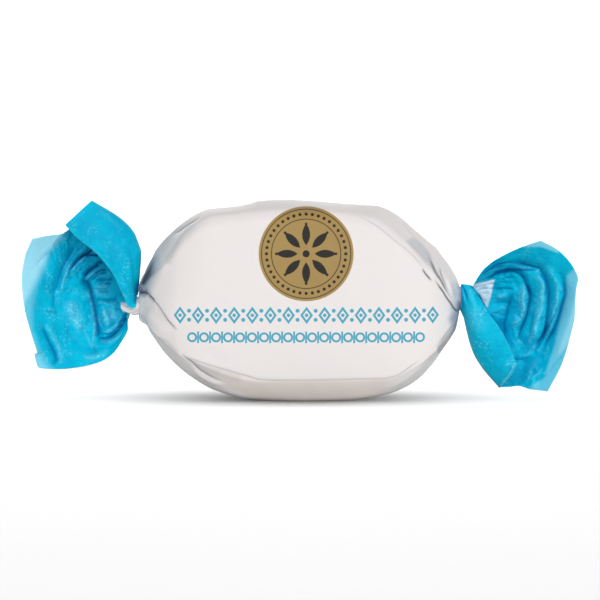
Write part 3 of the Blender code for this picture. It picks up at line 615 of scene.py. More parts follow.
LEFT_FOLDS = [
    # the outer valley down to the lower end, and the ridge beside it
    fold([(-56.1, 17.0), (-55.8, 14.9), (-54.9, 12.7), (-54.0, 10.8), (-53.3, 9.1), (-53.0, 7.2)], 0.42,
          -1.2, 0.3, 0.1, dark=(0.9, 0.3)),
    fold([(-48.7, 33.7), (-49.4, 32.2), (-50.5, 30.4), (-51.7, 28.2), (-52.3, 26.4), (-52.9, 24.4),
          (-53.5, 22.8), (-53.5, 20.9)], 0.6, -1.4, 0.2, 0.3, dark=(0.65, 0.28)),
    fold([(-49.2, 30.2), (-50.6, 27.6), (-51.5, 24.8), (-52.0, 22.2)], 0.5, 0.9, 0.2, 0.3),
    # the flap's shadow, painted on the bowl below it
    fold([(-40.6, 26.6), (-43.6, 28.6), (-46.6, 31.4), (-49.8, 35.0)], 1.0, 0.0, 0.2, 0.2,
          dark=(0.22, 2.4)),
    # the arcs under the flap
    fold([(-44.8, 32.6), (-46.3, 31.5), (-47.9, 30.4), (-48.8, 29.5), (-49.7, 28.3), (-50.5, 27.3)], 0.4,
          -1.5, 0.1, 0.25, dark=(1.0, 0.22)),
    fold([(-45.2, 31.6), (-47.0, 30.3), (-48.6, 28.8), (-49.8, 27.0)], 0.35, 0.8, 0.2, 0.3),
    fold([(-43.8, 31.0), (-45.6, 31.1), (-46.8, 30.5)], 0.35, -1.2, 0.05, 0.3, dark=(1.0, 0.24)),
    fold([(-42.6, 29.3), (-43.6, 29.5), (-44.6, 28.6), (-46.3, 27.3), (-47.1, 26.1)], 0.4, -1.3, 0.1, 0.2,
          dark=(1.0, 0.22)),
    fold([(-43.0, 28.6), (-44.4, 27.7), (-46.0, 26.4), (-46.9, 24.9)], 0.35, 0.8, 0.2, 0.3),
    fold([(-42.0, 28.0), (-43.4, 27.8), (-44.8, 26.7)], 0.25, -0.6, 0.1, 0.3, dark=(0.8, 0.18)),
    fold([(-40.6, 25.9), (-42.0, 25.8), (-43.4, 25.6), (-44.5, 26.0)], 0.35, -0.6, 0.1, 0.3,
          dark=(0.8, 0.25)),
    fold([(-44.6, 27.4), (-43.6, 26.6), (-42.0, 26.8), (-41.0, 27.4)], 0.5, 0.4, 0.2, 0.3),
    # the pocket: its deep side, its bright edge and its lower lip
    fold([(-47.2, 26.1), (-46.3, 25.0), (-45.8, 23.8), (-45.4, 22.7), (-45.1, 21.2), (-44.7, 19.5),
          (-44.4, 17.5), (-44.1, 15.8), (-43.9, 14.0), (-43.9, 13.2)], 0.5, -2.4, 0.1, 0.05,
          dark=(1.0, 0.3)),
    fold([(-46.6, 24.4), (-45.8, 22.4), (-45.2, 20.4), (-44.9, 18.2), (-44.6, 16.3), (-44.8, 13.6),
          (-45.2, 11.0)], 0.45, 1.3, 0.2, 0.3),
    fold([(-43.9, 13.2), (-42.6, 13.0), (-41.2, 13.4), (-40.0, 14.4), (-38.8, 15.9), (-37.8, 17.6),
          (-37.0, 18.8)], 0.45, -1.8, 0.05, 0.1, dark=(1.0, 0.24)),
    fold([(-43.6, 12.2), (-42.0, 12.3), (-40.2, 13.0), (-38.4, 15.0)], 0.5, 1.0, 0.2, 0.3),
    fold([(-43.4, 14.6), (-41.8, 14.4), (-40.4, 15.2), (-38.8, 17.2)], 0.3, 0.7, 0.2, 0.3),
    fold([(-43.4, 12.2), (-42.7, 12.0), (-41.6, 12.6)], 0.3, -0.4, 0.2, 0.3, dark=(0.5, 0.2)),
    fold([(-45.5, 12.0), (-44.7, 10.6), (-44.0, 9.4)], 0.4, -0.5, 0.2, 0.3, dark=(0.4, 0.3)),
    fold([(-47.9, 9.9), (-46.0, 9.0), (-44.2, 9.3), (-42.4, 9.9)], 0.6, 0.45, 0.3, 0.4),
    # the crumpled panel in the pocket
    fold([(-44.8, 21.0), (-43.4, 21.6), (-41.6, 21.3), (-39.4, 21.6)], 0.3, -0.6, 0.2, 0.15,
          dark=(0.6, 0.18)),
    fold([(-44.6, 20.2), (-43.2, 20.9), (-41.4, 20.5), (-39.4, 20.9)], 0.3, 0.6, 0.2, 0.2),
    fold([(-44.2, 23.4), (-42.6, 23.0), (-41.2, 23.6)], 0.3, -0.5, 0.2, 0.3, dark=(0.6, 0.2)),
    fold([(-44.2, 24.4), (-42.8, 24.2), (-41.4, 24.8)], 0.4, 0.6, 0.2, 0.3),
    fold([(-43.6, 18.6), (-43.2, 16.4), (-42.2, 14.9)], 0.3, -0.6, 0.3, 0.3, dark=(0.5, 0.2)),
    fold([(-43.0, 19.8), (-42.2, 17.8), (-41.6, 16.0)], 0.35, 0.8, 0.3, 0.3),
    fold([(-41.6, 19.5), (-41.2, 17.9), (-40.6, 16.2)], 0.3, -0.4, 0.2, 0.3, dark=(0.4, 0.2)),
    fold([(-42.6, 14.5), (-40.7, 15.5), (-39.2, 17.2), (-38.2, 18.6)], 0.35, 0.8, 0.2, 0.3),
    fold([(-42.9, 15.3), (-41.2, 15.9), (-39.6, 17.8)], 0.3, -0.4, 0.2, 0.3, dark=(0.4, 0.2)),
    fold([(-40.3, 19.5), (-38.8, 19.4), (-37.6, 19.2)], 0.3, -0.35, 0.2, 0.2, dark=(0.45, 0.2)),
    # where the light catches the crumpled paper
    fold([(-42.8, 19.4), (-41.4, 17.6), (-40.4, 16.4)], 1.0, 0.0, 0.3, 0.3, pale=(0.75, 1.7)),
    fold([(-44.0, 25.2), (-43.4, 23.6), (-43.8, 21.8)], 1.0, 0.0, 0.3, 0.3, pale=(0.5, 1.6)),
    fold([(-49.8, 21.4), (-49.2, 18.8), (-48.2, 16.4)], 1.0, 0.0, 0.3, 0.3, pale=(0.5, 1.5)),
    fold([(-46.9, 15.2), (-45.6, 11.8), (-44.8, 10.4)], 0.2, 0.2, 0.2, 0.2, pale=(0.7, 0.2)),
    fold([(-47.6, 9.6), (-45.4, 8.8), (-43.2, 9.6), (-41.2, 10.6)], 0.3, 0.2, 0.3, 0.3, pale=(0.4, 0.6)),
    fold([(-52.6, 11.8), (-52.2, 9.4), (-52.0, 7.4)], 0.3, 0.3, 0.2, 0.1, pale=(0.5, 0.5)),
    fold([(-40.6, 14.2), (-39.2, 15.6), (-38.0, 17.2)], 0.2, 0.2, 0.2, 0.2, pale=(0.7, 0.18)),
    fold([(-43.0, 20.0), (-42.0, 18.6), (-41.6, 16.8), (-42.4, 15.2)], 0.2, 0.35, 0.2, 0.2,
          pale=(0.8, 0.2)),
    fold([(-41.0, 19.6), (-40.2, 18.0), (-40.0, 16.4)], 0.2, 0.35, 0.2, 0.2, pale=(0.7, 0.18)),
    fold([(-53.2, 23.2), (-52.4, 23.0)], 0.2, 0.2, 0.2, 0.2, pale=(0.8, 0.25)),
    fold([(-54.9, 19.3), (-53.2, 19.0)], 0.2, 0.2, 0.2, 0.2, pale=(0.5, 0.25)),
    # the wide lit panel, and the small creases in it
    fold([(-50.2, 22.0), (-49.2, 18.6), (-47.9, 15.6), (-47.2, 14.0)], 1.4, 1.2, 0.3, 0.3),
    fold([(-51.6, 16.8), (-49.8, 13.6), (-47.6, 11.2), (-46.0, 10.4)], 0.8, -0.5, 0.3, 0.3,
          dark=(0.2, 0.6)),
    fold([(-55.4, 16.6), (-53.4, 13.2), (-51.8, 10.0)], 0.8, 0.6, 0.3, 0.3),
    fold([(-55.2, 19.1), (-53.8, 18.8), (-52.3, 18.6)], 0.3, -0.4, 0.2, 0.2, dark=(0.4, 0.22)),
    fold([(-55.0, 19.6), (-53.8, 19.5)], 0.4, 0.4, 0.3, 0.3),
    fold([(-53.3, 22.8), (-53.6, 21.0), (-53.4, 19.8)], 0.35, -0.35, 0.2, 0.2, dark=(0.35, 0.25)),
    fold([(-52.4, 22.4), (-52.4, 20.2)], 0.4, 0.4, 0.3, 0.3),
    fold([(-57.4, 28.8), (-56.0, 30.5), (-54.6, 31.6)], 0.3, -0.2, 0.3, 0.1, dark=(0.3, 0.16)),
    # fine pleats beside the arcs
    fold([(-46.0, 33.6), (-48.2, 32.0), (-50.0, 29.8), (-51.2, 27.4), (-52.2, 24.8)], 0.25, -0.2, 0.2, 0.4,
          dark=(0.3, 0.16)),
    fold([(-45.4, 30.9), (-47.0, 31.0), (-48.2, 30.2), (-49.2, 28.9)], 0.22, -0.4, 0.2, 0.3,
          dark=(0.9, 0.16)),
    fold([(-43.4, 28.9), (-44.9, 28.3), (-46.4, 26.9), (-47.2, 25.4), (-46.6, 23.8)], 0.25, -0.4, 0.1, 0.3,
          dark=(1.0, 0.2)),
    fold([(-41.6, 27.4), (-43.0, 27.2), (-44.4, 26.4), (-45.4, 25.4)], 0.22, -0.4, 0.2, 0.3,
          dark=(0.8, 0.16)),
    fold([(-40.8, 24.9), (-42.4, 25.0), (-44.0, 25.2)], 0.2, -0.3, 0.2, 0.3, dark=(0.7, 0.16)),
]

# Folds in the flaps.
RIGHT_FLAP_FOLDS = [
    fold([(34.8, 24.8), (35.4, 23.6), (35.9, 22.2), (36.2, 20.4)], 0.35, -0.7, 0.05, 0.4, dark=(1.0, 0.22)),
    fold([(34.5, 24.6), (34.8, 22.6), (35.2, 20.4), (35.6, 18.4)], 0.3, -0.3, 0.1, 0.4, dark=(0.9, 0.3)),
    fold([(36.2, 24.3), (37.4, 24.0), (38.4, 22.6), (39.2, 21.2)], 0.3, -0.4, 0.2, 0.4, dark=(0.8, 0.3)),
    fold([(36.6, 23.4), (37.4, 20.6), (38.6, 17.6)], 0.8, 0.35, 0.2, 0.5),
    fold([(36.9, 20.6), (37.8, 17.0), (39.8, 13.8)], 1.0, 0.0, 0.3, 0.4, pale=(0.4, 1.7)),
    fold([(39.9, 15.6), (42.6, 10.8), (43.8, 6.0)], 1.4, -0.35, 0.3, 0.3),
    # its hem
    fold([(46.2, 7.6), (45.2, 5.7), (44.2, 4.2), (43.3, 2.8)], 0.2, 0.1, 0.05, 0.05, pale=(0.9, 0.22)),
    fold([(44.0, 7.1), (45.2, 7.5), (46.4, 7.7)], 0.2, 0.1, 0.2, 0.05, pale=(0.9, 0.18)),
    fold([(45.8, 7.0), (45.3, 6.1), (44.5, 4.9), (43.8, 3.9)], 0.2, -0.15, 0.1, 0.2, dark=(0.75, 0.2)),
]
LEFT_FLAP_FOLDS = [
    fold([(-37.4, 33.8), (-36.6, 30.0), (-36.2, 26.0), (-35.9, 22.0)], 0.6, -0.35, 0.3, 0.2,
          dark=(0.3, 0.4)),
    fold([(-35.2, 26.4), (-35.5, 24.2), (-35.8, 22.0), (-35.9, 20.2)], 0.4, -0.2, 0.3, 0.1,
          dark=(0.85, 0.5)),
    fold([(-36.9, 28.6), (-38.4, 26.4), (-38.0, 23.8)], 0.8, -0.3, 0.4, 0.4, dark=(0.15, 0.8)),
    fold([(-44.6, 41.6), (-41.0, 38.8), (-37.8, 35.6)], 0.7, 0.2, 0.3, 0.3),
]

# Where a fan's paper is single and so lighter, each with how light, how soft its edge is and its corners.
RIGHT_LIGHT = [
    (0.42, 0.8, [(59.6, 28.6), (57.6, 26.6), (57.5, 23.3), (56.7, 19.3), (55.9, 15.8), (54.9, 11.0),
                 (53.8, 8.0), (53.0, 5.0), (53.8, 5.8), (55.0, 7.3), (57.2, 10.2), (62.0, 16.0),
                 (62.0, 28.6)]),
    (0.8, 2.0, [(60.4, 26.0), (58.8, 21.0), (57.6, 16.5), (55.9, 12.0), (55.2, 9.0), (56.6, 9.6),
                (62.0, 16.0), (62.0, 26.0)]),
    (0.35, 0.8, [(57.2, 10.2), (55.0, 7.3), (53.6, 5.8), (52.8, 4.4), (51.0, 3.4), (49.5, 2.4), (49.0, 0.5),
                 (60.0, 0.5), (60.0, 10.2)]),
    (0.6, 0.5, [(48.0, 32.9), (51.8, 33.0), (55.6, 31.6), (56.0, 36.0), (46.0, 36.0)]),
]
LEFT_LIGHT = [
    (0.95, 2.4, [(-63.0, 16.0), (-60.6, 17.5), (-59.4, 21.0), (-57.9, 24.0), (-56.5, 27.0), (-55.3, 29.6),
                 (-54.8, 31.9), (-53.4, 33.2), (-51.6, 35.4), (-50.2, 38.0), (-63.0, 40.0)]),
    (0.34, 1.8, [(-62.0, 26.0), (-56.6, 26.0), (-57.6, 22.6), (-58.2, 19.0), (-58.2, 15.0), (-56.8, 11.0),
                 (-55.8, 9.0), (-54.0, 6.0), (-62.0, 6.0)]),
    (0.5, 1.2, [(-59.0, 10.4), (-56.8, 10.0), (-56.0, 8.2), (-55.4, 6.0), (-58.0, 5.6)]),
]
# Where a fan's paper lies in shade, as darkness of the crease colour: on the bowls and on the flaps.
LEFT_SHADE = [
    (0.15, 1.6, [(-48.4, 28.6), (-45.6, 31.2), (-42.6, 29.4), (-41.4, 27.0), (-42.2, 25.8), (-44.6, 25.8),
                (-46.8, 25.2)]),
]
RIGHT_SHADE = [
    (0.2, 2.0, [(46.4, 8.6), (49.6, 9.4), (52.6, 11.4), (53.6, 8.4), (51.4, 5.6), (49.0, 3.2), (46.4, 3.6)]),
    (0.2, 2.0, [(43.6, 12.8), (45.8, 15.0), (47.8, 14.0), (47.6, 10.4), (45.6, 9.4)]),
    (0.35, 1.6, [(47.6, 13.4), (50.2, 14.2), (51.8, 12.8), (50.8, 10.4), (48.0, 9.8)]),
]
LEFT_FLAP_SHADE = [
    (0.24, 5.0, [(-50.0, 37.6), (-44.6, 43.4), (-36.0, 38.4), (-33.6, 32.0), (-41.0, 29.6)]),
]
RIGHT_FLAP_SHADE = [
    (0.2, 4.0, [(37.6, 12.6), (43.0, 13.4), (47.0, 7.4), (43.0, 1.6)]),
]
# Where the paper in the throat is unprinted.
RIGHT_BARE = [(36.0, 24.2), (37.2, 24.8), (38.4, 25.1), (41.9, 25.9), (41.4, 23.7), (40.9, 21.4),
              (40.3, 19.8), (39.5, 21.1), (38.9, 22.4), (37.6, 23.8)]
LEFT_BARE = [(-36.0, 20.8), (-39.0, 20.8), (-38.6, 18.9), (-36.4, 18.8)]

# Shape of the fans: points (x, y, z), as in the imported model. Each is one sheet that leaves the throat's
# ring round the stem. The flap is its front, folded over along the fold line. The bowl is its back.
RIGHT_FAN = {
    "throat": (36.2, 0.0, 21.8),
    "fold_side": -1.0,
    "ring_ends": (168.0, 155.0),
    "ring_lean": (-1.7, -1.6, 0.8),
    "fold": [(35.3, -0.8, 17.4), (35.8, -1.0, 15.0), (37.2, -0.9, 10.3), (38.9, -0.7, 7.3),
             (43.0, 0.0, 2.4)],
    "free": [(34.7, -1.2, 24.9), (36.6, -2.4, 24.7), (38.1, -3.5, 22.5), (39.6, -4.7, 19.8),
             (43.2, -6.0, 14.5), (46.5, -4.6, 7.5)],
    "rim": [(40.0, 1.4, 28.3), (47.4, -1.1, 32.8), (51.0, -2.3, 34.1), (51.6, -2.4, 34.3),
            (52.2, -2.5, 34.0), (54.5, -2.9, 32.8), (57.4, -3.2, 30.2), (59.1, -3.1, 27.6),
            (59.6, -3.0, 26.2), (59.2, -2.8, 23.6), (59.0, -2.4, 18.0), (58.2, -2.1, 14.0),
            (56.4, -1.5, 7.8), (53.4, -0.6, 1.6)],
    "inner_rim": [(41.4, 1.4, 28.0), (48.6, -0.8, 30.6), (55.6, -2.4, 26.4), (57.2, -2.4, 17.6),
                  (55.6, -1.6, 8.6), (52.4, -0.4, 2.0)],
    "bowl_end": [(45.2, 1.4, 2.3), (47.5, 1.5, 2.5), (50.0, 0.8, 1.9)],
    "flap_end": [(44.9, -2.6, 5.0)],
    "bowl_depth": 5.6,
    "curl": 0.5,
    "tab": 0.0,
    "folds": RIGHT_FOLDS,
    "flap_folds": RIGHT_FLAP_FOLDS,
    "light": RIGHT_LIGHT,
    "shade": RIGHT_SHADE,
    "flap_shade": RIGHT_FLAP_SHADE,
    "bare": RIGHT_BARE,
}
LEFT_FAN = {
    "throat": (-36.7, 0.0, 20.2),
    "fold_side": 1.0,
    "ring_ends": (97.0, 150.0),
    "ring_lean": (-1.4, -1.1, 1.1),
    "fold": [(-35.0, -1.0, 25.6), (-34.5, -1.2, 31.7), (-34.9, -1.1, 33.2), (-36.1, -0.8, 36.1),
             (-36.9, -0.8, 37.2), (-39.2, -0.7, 39.3), (-45.1, -0.4, 42.9)],
    "free": [(-36.4, -2.8, 19.8), (-38.3, -4.0, 22.8), (-40.0, -4.8, 26.7), (-43.4, -5.9, 31.3),
             (-48.2, -4.6, 35.2), (-50.6, -3.6, 37.7)],
    "rim": [(-37.6, 1.2, 15.2), (-38.9, 0.4, 12.4), (-40.6, -0.7, 10.0), (-43.2, -1.4, 8.2),
            (-48.6, -2.3, 6.9), (-52.2, -2.5, 6.6), (-55.7, -2.6, 6.9), (-56.9, -2.9, 10.6),
            (-58.1, -3.0, 14.5), (-59.5, -3.1, 20.0), (-60.1, -2.8, 26.0), (-59.5, -2.3, 30.6),
            (-57.9, -1.8, 34.7)],
    "inner_rim": [(-39.0, 1.2, 14.0), (-44.4, -1.0, 9.4), (-52.0, -2.2, 9.4), (-55.6, -2.8, 14.8),
                  (-57.8, -2.6, 23.0), (-57.8, -2.2, 30.0), (-56.4, -1.4, 34.9)],
    "bowl_end": [(-48.8, 1.2, 38.3), (-52.2, 0.6, 35.6), (-54.3, -0.2, 35.4)],
    "flap_end": [(-48.0, -2.4, 40.1)],
    "bowl_depth": 5.4,
    "curl": 0.0,
    "tab": 1.0,
    "folds": LEFT_FOLDS,
    "flap_folds": LEFT_FLAP_FOLDS,
    "light": LEFT_LIGHT,
    "shade": LEFT_SHADE,
    "flap_shade": LEFT_FLAP_SHADE,
    "bare": LEFT_BARE,
}
FANS = {"left_paper_fan": ("left_fan", LEFT_FAN), "right_paper_fan": ("right_fan", RIGHT_FAN)}

# How the fans are built, with lengths in millimetres and places as shares of the fan. The throat's ring, and
# how late the bowl turns out to its rim.
THROAT_RADIUS = 2.5
RIM_REACH = 5.0
# The share of the cells that lie on the flap, how round the fold line is, how far the two sides open beside
# it, and from where along the fan.
FLAP_SHARE = 0.2
FOLD_ROUNDING = 0.06
FOLD_OPENING = 1.1
OPENING_START = 0.2
# How far the flap bulges and from where, and how much of that bulge the bowl keeps over its own depth.
FLAP_BULGE = 1.0
BULGE_START = 0.3
BOWL_KEPT = 0.3
# How the bowl's deepest place leans to the fold line and the throat, and how full its section is.
BOWL_LEAN = 0.8
BOWL_FULLNESS = 0.7
# The pleats at the throat: count, slant, sharpness and height, the height and count of the waves that crowd
# them, how far in they rise from the edges, and where they end and fade.
PLEATS, PLEAT_SLANT, PLEAT_SHARPNESS, PLEAT_HEIGHT = 15.0, 2.0, 0.8, 0.28
CROWDING, CROWDING_WAVES = 0.3, 9.0
PLEAT_EDGE = 0.1
PLEAT_END, PLEAT_FADE = 0.42, 0.3
# How sharp the folds are, how far the painted shade of a crease spreads in the bowls, and how far from the
# fold line and from the throat the folds come in.
FOLD_SHARPNESS = 0.3
BOWL_SHADE = 0.25
SETTLED_ACROSS, SETTLED_ALONG = 0.08, 0.06
# The flap's curled end: where it starts and its width, the crease there, how strong the painted shade in
# that crease is, and how soon the painted highlight beyond it comes in. The free edge has a hem with a
# painted highlight: its width and how strong that is.
CURL_START, CURL_WIDTH = 0.945, 0.25
CURL_CREASE, CURL_SHADE, CURL_HIGHLIGHT = 0.006, 0.6, 0.02
HEM_WIDTH, HEM_HIGHLIGHT = 0.03, 0.6
# The crumples between the folds, as (height, width, place in the noise), how far from the throat they come
# in, what the flap has of them, and how much, from where and over what they fade at the rim.
CRUMPLES = [(0.26, 3.4, 3.0), (0.15, 1.5, 11.0)]
CRUMPLE_START = 0.15
FLAP_CRUMPLES = 0.3
RIM_SMOOTHING, RIM_START, RIM_FADE = 0.94, 0.7, 0.2
# The small tab at the left fan's lower corner: how far it stands out, its top, how sharp that is, where the
# tab begins, over what it grows, and how much of the bowl's rim it takes.
TAB_WIDTH = 0.7
TAB_TOP, TAB_EDGE = 10.1, 0.15
TAB_SIDE, TAB_GROWTH = -50.0, 4.0
TAB_START, TAB_SHARE = 0.94, 0.06
# How soft the unprinted paper's edge is.
BARE_EDGE = 0.4


def throat_ring(fan, side):
    """The ring round the stem from the fold line: side -1 passes in front of the stem, 1 behind it."""
    throat = np.array(fan["throat"])
    outwards = math.copysign(1.0, throat[0])
    front_end, back_end = fan["ring_ends"]
    at_fold, at_front_end, at_back_end = fan["ring_lean"]
    end_angle, at_end = (front_end, at_front_end) if side < 0.0 else (back_end, at_back_end)

    def at(a):
        angle = np.radians(end_angle) * np.asarray(a, float)
        along = (at_fold + (at_end - at_fold) * smooth(a)) * outwards
        across, up = side * THROAT_RADIUS * np.sin(angle), fan["fold_side"] * THROAT_RADIUS * np.cos(angle)
        return throat + np.stack([along, across, up], axis=-1)

    return at


def blended_patch(start, end, first, last, a, b):
    """Points of a smooth patch between four paths: start and end run with b, first and last run with a."""
    a, b = a[..., None], b[..., None]
    flat_a, flat_b = a[..., 0], b[..., 0]
    ruled = start(flat_b) * (1.0 - a) + end(flat_b) * a + first(flat_a) * (1.0 - b) + last(flat_a) * b
    for path, weight in ((first, 1.0 - b), (last, b)):
        ruled = ruled - path(0.0) * (1.0 - a) * weight - path(1.0) * a * weight
    return ruled


def throat_pleats(a, b):
    """The fine pleats that run out of the throat, as a height to the front."""
    place = PLEATS * a + PLEAT_SLANT * b + CROWDING * np.sin(CROWDING_WAVES * a)
    pleat = np.abs(np.sin(math.pi * place)) ** PLEAT_SHARPNESS - MEAN_RIDGE
    height = PLEAT_HEIGHT * pleat * smooth(b / PLEAT_EDGE) * smooth((PLEAT_END - b) / PLEAT_FADE)
    return height * smooth(a / PLEAT_EDGE) * smooth((1.0 - a) / PLEAT_EDGE)


def ridged(points, scale, seed):
    """Noise with sharp ridges, as crumpled paper has, from about -1 in its dents to 1 on its ridges."""
    return 1.0 - 3.0 * np.abs(roughness_of(points, scale, seed))


def fan_points(fan, u, b):
    """A fan's points, with its layers of painted shade in creases and shaded zones, painted highlight on
    ridges and hems, single paper and unprinted paper.

    u runs from -1 on the flap's free edge to 1 on the bowl's rim, with 0 on the fold line. b runs from the
    throat to the end.
    """
    front_ring, back_ring = throat_ring(fan, -1.0), throat_ring(fan, 1.0)
    fold_line = path_through([back_ring(0.0), *fan["fold"]])
    free = path_through([front_ring(1.0), *fan["free"]])
    rim = path_through([back_ring(1.0), *fan["rim"]])
    inner_rim = path_through([back_ring(1.0), *fan["inner_rim"]])
    bowl_end = path_through([fold_line(1.0), *fan["bowl_end"], inner_rim(1.0)])
    flap_end = path_through([fold_line(1.0), *fan["flap_end"], free(1.0)])

    a = np.abs(u)
    turn = (np.hypot(a, FOLD_ROUNDING) - FOLD_ROUNDING) / (math.hypot(1.0, FOLD_ROUNDING) - FOLD_ROUNDING)
    opening = FOLD_OPENING * np.tanh(a / FOLD_ROUNDING) * (1.0 - a) * smooth(b / OPENING_START)
    hump = np.sin(math.pi * a) * smooth(b / BULGE_START)

    flap = blended_patch(fold_line, free, front_ring, flap_end, turn, b)
    flap[..., 1] -= FLAP_BULGE * hump + opening

    bowl = blended_patch(fold_line, inner_rim, back_ring, bowl_end, turn, b)
    bowl = bowl + (rim(b) - inner_rim(b)) * (turn ** RIM_REACH)[..., None]
    across = np.sin(math.pi * a ** BOWL_LEAN)
    along = np.sin(math.pi * b ** BOWL_LEAN) ** BOWL_FULLNESS
    bowl[..., 1] += opening + fan["bowl_depth"] * (across * along + BOWL_KEPT * hump)
    settled = smooth(a / SETTLED_ACROSS) * smooth(b / SETTLED_ALONG)
    relief = fold_relief(*in_front_view(bowl), fan["folds"], FOLD_SHARPNESS, BOWL_SHADE)
    height, dark, pale = (layer * settled for layer in relief)
    bowl[..., 1] -= height + throat_pleats(a, b) * settled
    flap_height, flap_dark, flap_pale = fold_relief(*in_front_view(flap), fan["flap_folds"], FOLD_SHARPNESS)
    flap[..., 1] -= flap_height

    # the flap's end curls up towards the front, over a crease that has painted shade, and has a painted
    # highlight beyond it
    curl = fan["curl"] * smooth(a / CURL_WIDTH)
    flap[..., 1] -= curl * np.sin(math.pi * np.clip((b - CURL_START) / (1.0 - CURL_START), 0.0, 1.0))
    over_crease = np.exp(-((b - CURL_START) / CURL_CREASE) ** 2)
    flap_dark = np.maximum(flap_dark, CURL_SHADE * smooth(curl) * over_crease)
    flap_pale = np.maximum(flap_pale, smooth(curl) * smooth((b - CURL_START) / CURL_HIGHLIGHT - 0.5))

    # both sides together, with the crumples and the small tab
    in_flap = u < 0.0
    points = np.where(in_flap[..., None], flap, bowl)
    crumple = sum(high * ridged(points, wide, seed) for high, wide, seed in CRUMPLES)
    in_bowl = 1.0 - RIM_SMOOTHING * smooth((a - RIM_START) / RIM_FADE)
    crumple *= smooth(b / CRUMPLE_START) * np.where(in_flap, FLAP_CRUMPLES, in_bowl)
    points[..., 1] -= crumple
    tab = fan["tab"] * smooth((a - TAB_START) / TAB_SHARE) * (u > 0.0)
    tab *= smooth((TAB_TOP - points[..., 2]) / TAB_EDGE)
    points[..., 0] -= TAB_WIDTH * tab * smooth((TAB_SIDE - points[..., 0]) / TAB_GROWTH)

    x, z = in_front_view(points)
    hem = np.where(in_flap, smooth(1.0 - (1.0 + u) / HEM_WIDTH), 0.0)
    shaded = np.where(u > 0.0, strongest(x, z, fan["shade"]), strongest(x, z, fan["flap_shade"]))
    return points, {
        "crease_shade": np.maximum(np.where(in_flap, flap_dark, dark), shaded),
        "pale": np.maximum(np.where(in_flap, flap_pale, pale), HEM_HIGHLIGHT * hem),
        "light": strongest(x, z, fan["light"]) * (u > 0.0),
        "bare": inside(x, z, fan["bare"], BARE_EDGE) * (u > 0.0),
    }


# Meshes

def add_object(name, mesh):
    """An object with the finished mesh, which is freed."""
    data = bpy.data.meshes.new(name)
    mesh.to_mesh(data)
    mesh.free()
    data.shade_smooth()
    made = bpy.data.objects.new(name, data)
    bpy.context.scene.collection.objects.link(made)
    return made


def sheet_mesh(name, points, layers, closed):
    """An object from a grid of points in millimetres, with float layers. A closed one is a capped tube."""
    rows, columns = points.shape[:2]
    if closed:
        points = np.concatenate([points, points[:, :1]], axis=1)
        layers = {key: np.concatenate([values, values[:, :1]], axis=1) for key, values in layers.items()}
        columns += 1
    mesh = bmesh.new()
    bmesh.ops.create_grid(mesh, x_segments=columns - 1, y_segments=rows - 1, size=1.0)
    made_layers = {key: mesh.verts.layers.float.new(key) for key in layers}
    for vertex in mesh.verts:
        column = round((vertex.co.x + 1.0) / 2.0 * (columns - 1))
        row = round((vertex.co.y + 1.0) / 2.0 * (rows - 1))
        vertex.co = Vector(points[row, column]) * MM
        for key, layer in made_layers.items():
            vertex[layer] = float(layers[key][row, column])
    if closed:
        bmesh.ops.remove_doubles(mesh, verts=mesh.verts, dist=1e-4 * MM)
        rims = [edge for edge in mesh.edges if edge.is_boundary]
        bmesh.ops.holes_fill(mesh, edges=rims, sides=0)
    bmesh.ops.recalc_face_normals(mesh, faces=mesh.faces)
    return add_object(name, mesh)


# Materials

def fill_inputs(tree, made, inputs):
    """Gives a node's inputs their values, or links those that get another node's output."""
    for name, value in inputs:
        if isinstance(value, bpy.types.NodeSocket):
            tree.links.new(value, made.inputs[name])
        else:
            made.inputs[name].default_value = value


def add_node(tree, kind, *values, output=0, inputs=(), **settings):
    """Adds a node with its settings, and gives one of its outputs.

    The values go to its first inputs, and inputs to those that they name.
    """
    made = tree.nodes.new("ShaderNode" + kind)
    for name, value in settings.items():
        setattr(made, name, value)
    fill_inputs(tree, made, [*enumerate(values), *dict(inputs).items()])
    return made.outputs[output]


def new_material(name):
    """A new material, and the function that adds a node to it."""
    made = bpy.data.materials.new(name)
    made.use_nodes = True
    return made, partial(add_node, made.node_tree)


def finished(made, surface):
    """The material, with its surface given by the names of the shader's inputs."""
    fill_inputs(made.node_tree, made.node_tree.nodes["Principled BSDF"], surface.items())
    return made


def places(node):
    """Object coordinates in millimetres: the vector, and its x, y and z."""
    metres = node("TexCoord", output="Object")
    place = node("VectorMath", metres, inputs={"Scale": 1.0 / MM}, operation="SCALE")
    return place, *node("SeparateXYZ", place).node.outputs


def layered(node, colour, layers):
    """The colour with layers over it, each a mask, or the name of one of the mesh's layers, and a colour."""
    for mask, over in layers:
        if isinstance(mask, str):
            mask = node("Attribute", output="Fac", attribute_name=mask)
        mixing = {"Factor": mask, "A": colour, "B": over}
        colour = node("Mix", inputs=mixing, output="Result", data_type="RGBA")
    return colour


def inked(node, marks):
    """The mask of all the marks, each a value, the edge below which there is ink, and how soft that is."""
    ink = 0.0
    for value, edge, softness in marks:
        mark = node("MapRange", value, edge + softness, edge - softness)
        ink = node("Math", ink, mark, operation="MAXIMUM")
    return ink


def squares(node, across, up):
    """The square of the distance from a centre, from the distances across and up."""
    parts = [node("Math", side, side, operation="MULTIPLY") for side in (across, up)]
    return node("Math", *parts, operation="ADD")


# The disc's ornament, in millimetres: rings as (radius, half width), rings of beads as (count, radius of
# the ring, radius of a bead), almonds as (count, radius of their middles, half length, half width), the dot
# in the middle, and how soft the edges of the disc and of the ink are.
DISC_RINGS = [(9.45, 0.09), (7.35, 0.09)]
DISC_BEADS = [(40, 8.4, 0.34), (8, 6.3, 0.3)]
DISC_ALMONDS = (8, 4.1, 2.3, 0.85)
DISC_DOT = 0.75
DISC_EDGE = 0.06
INK_EDGE = 0.05


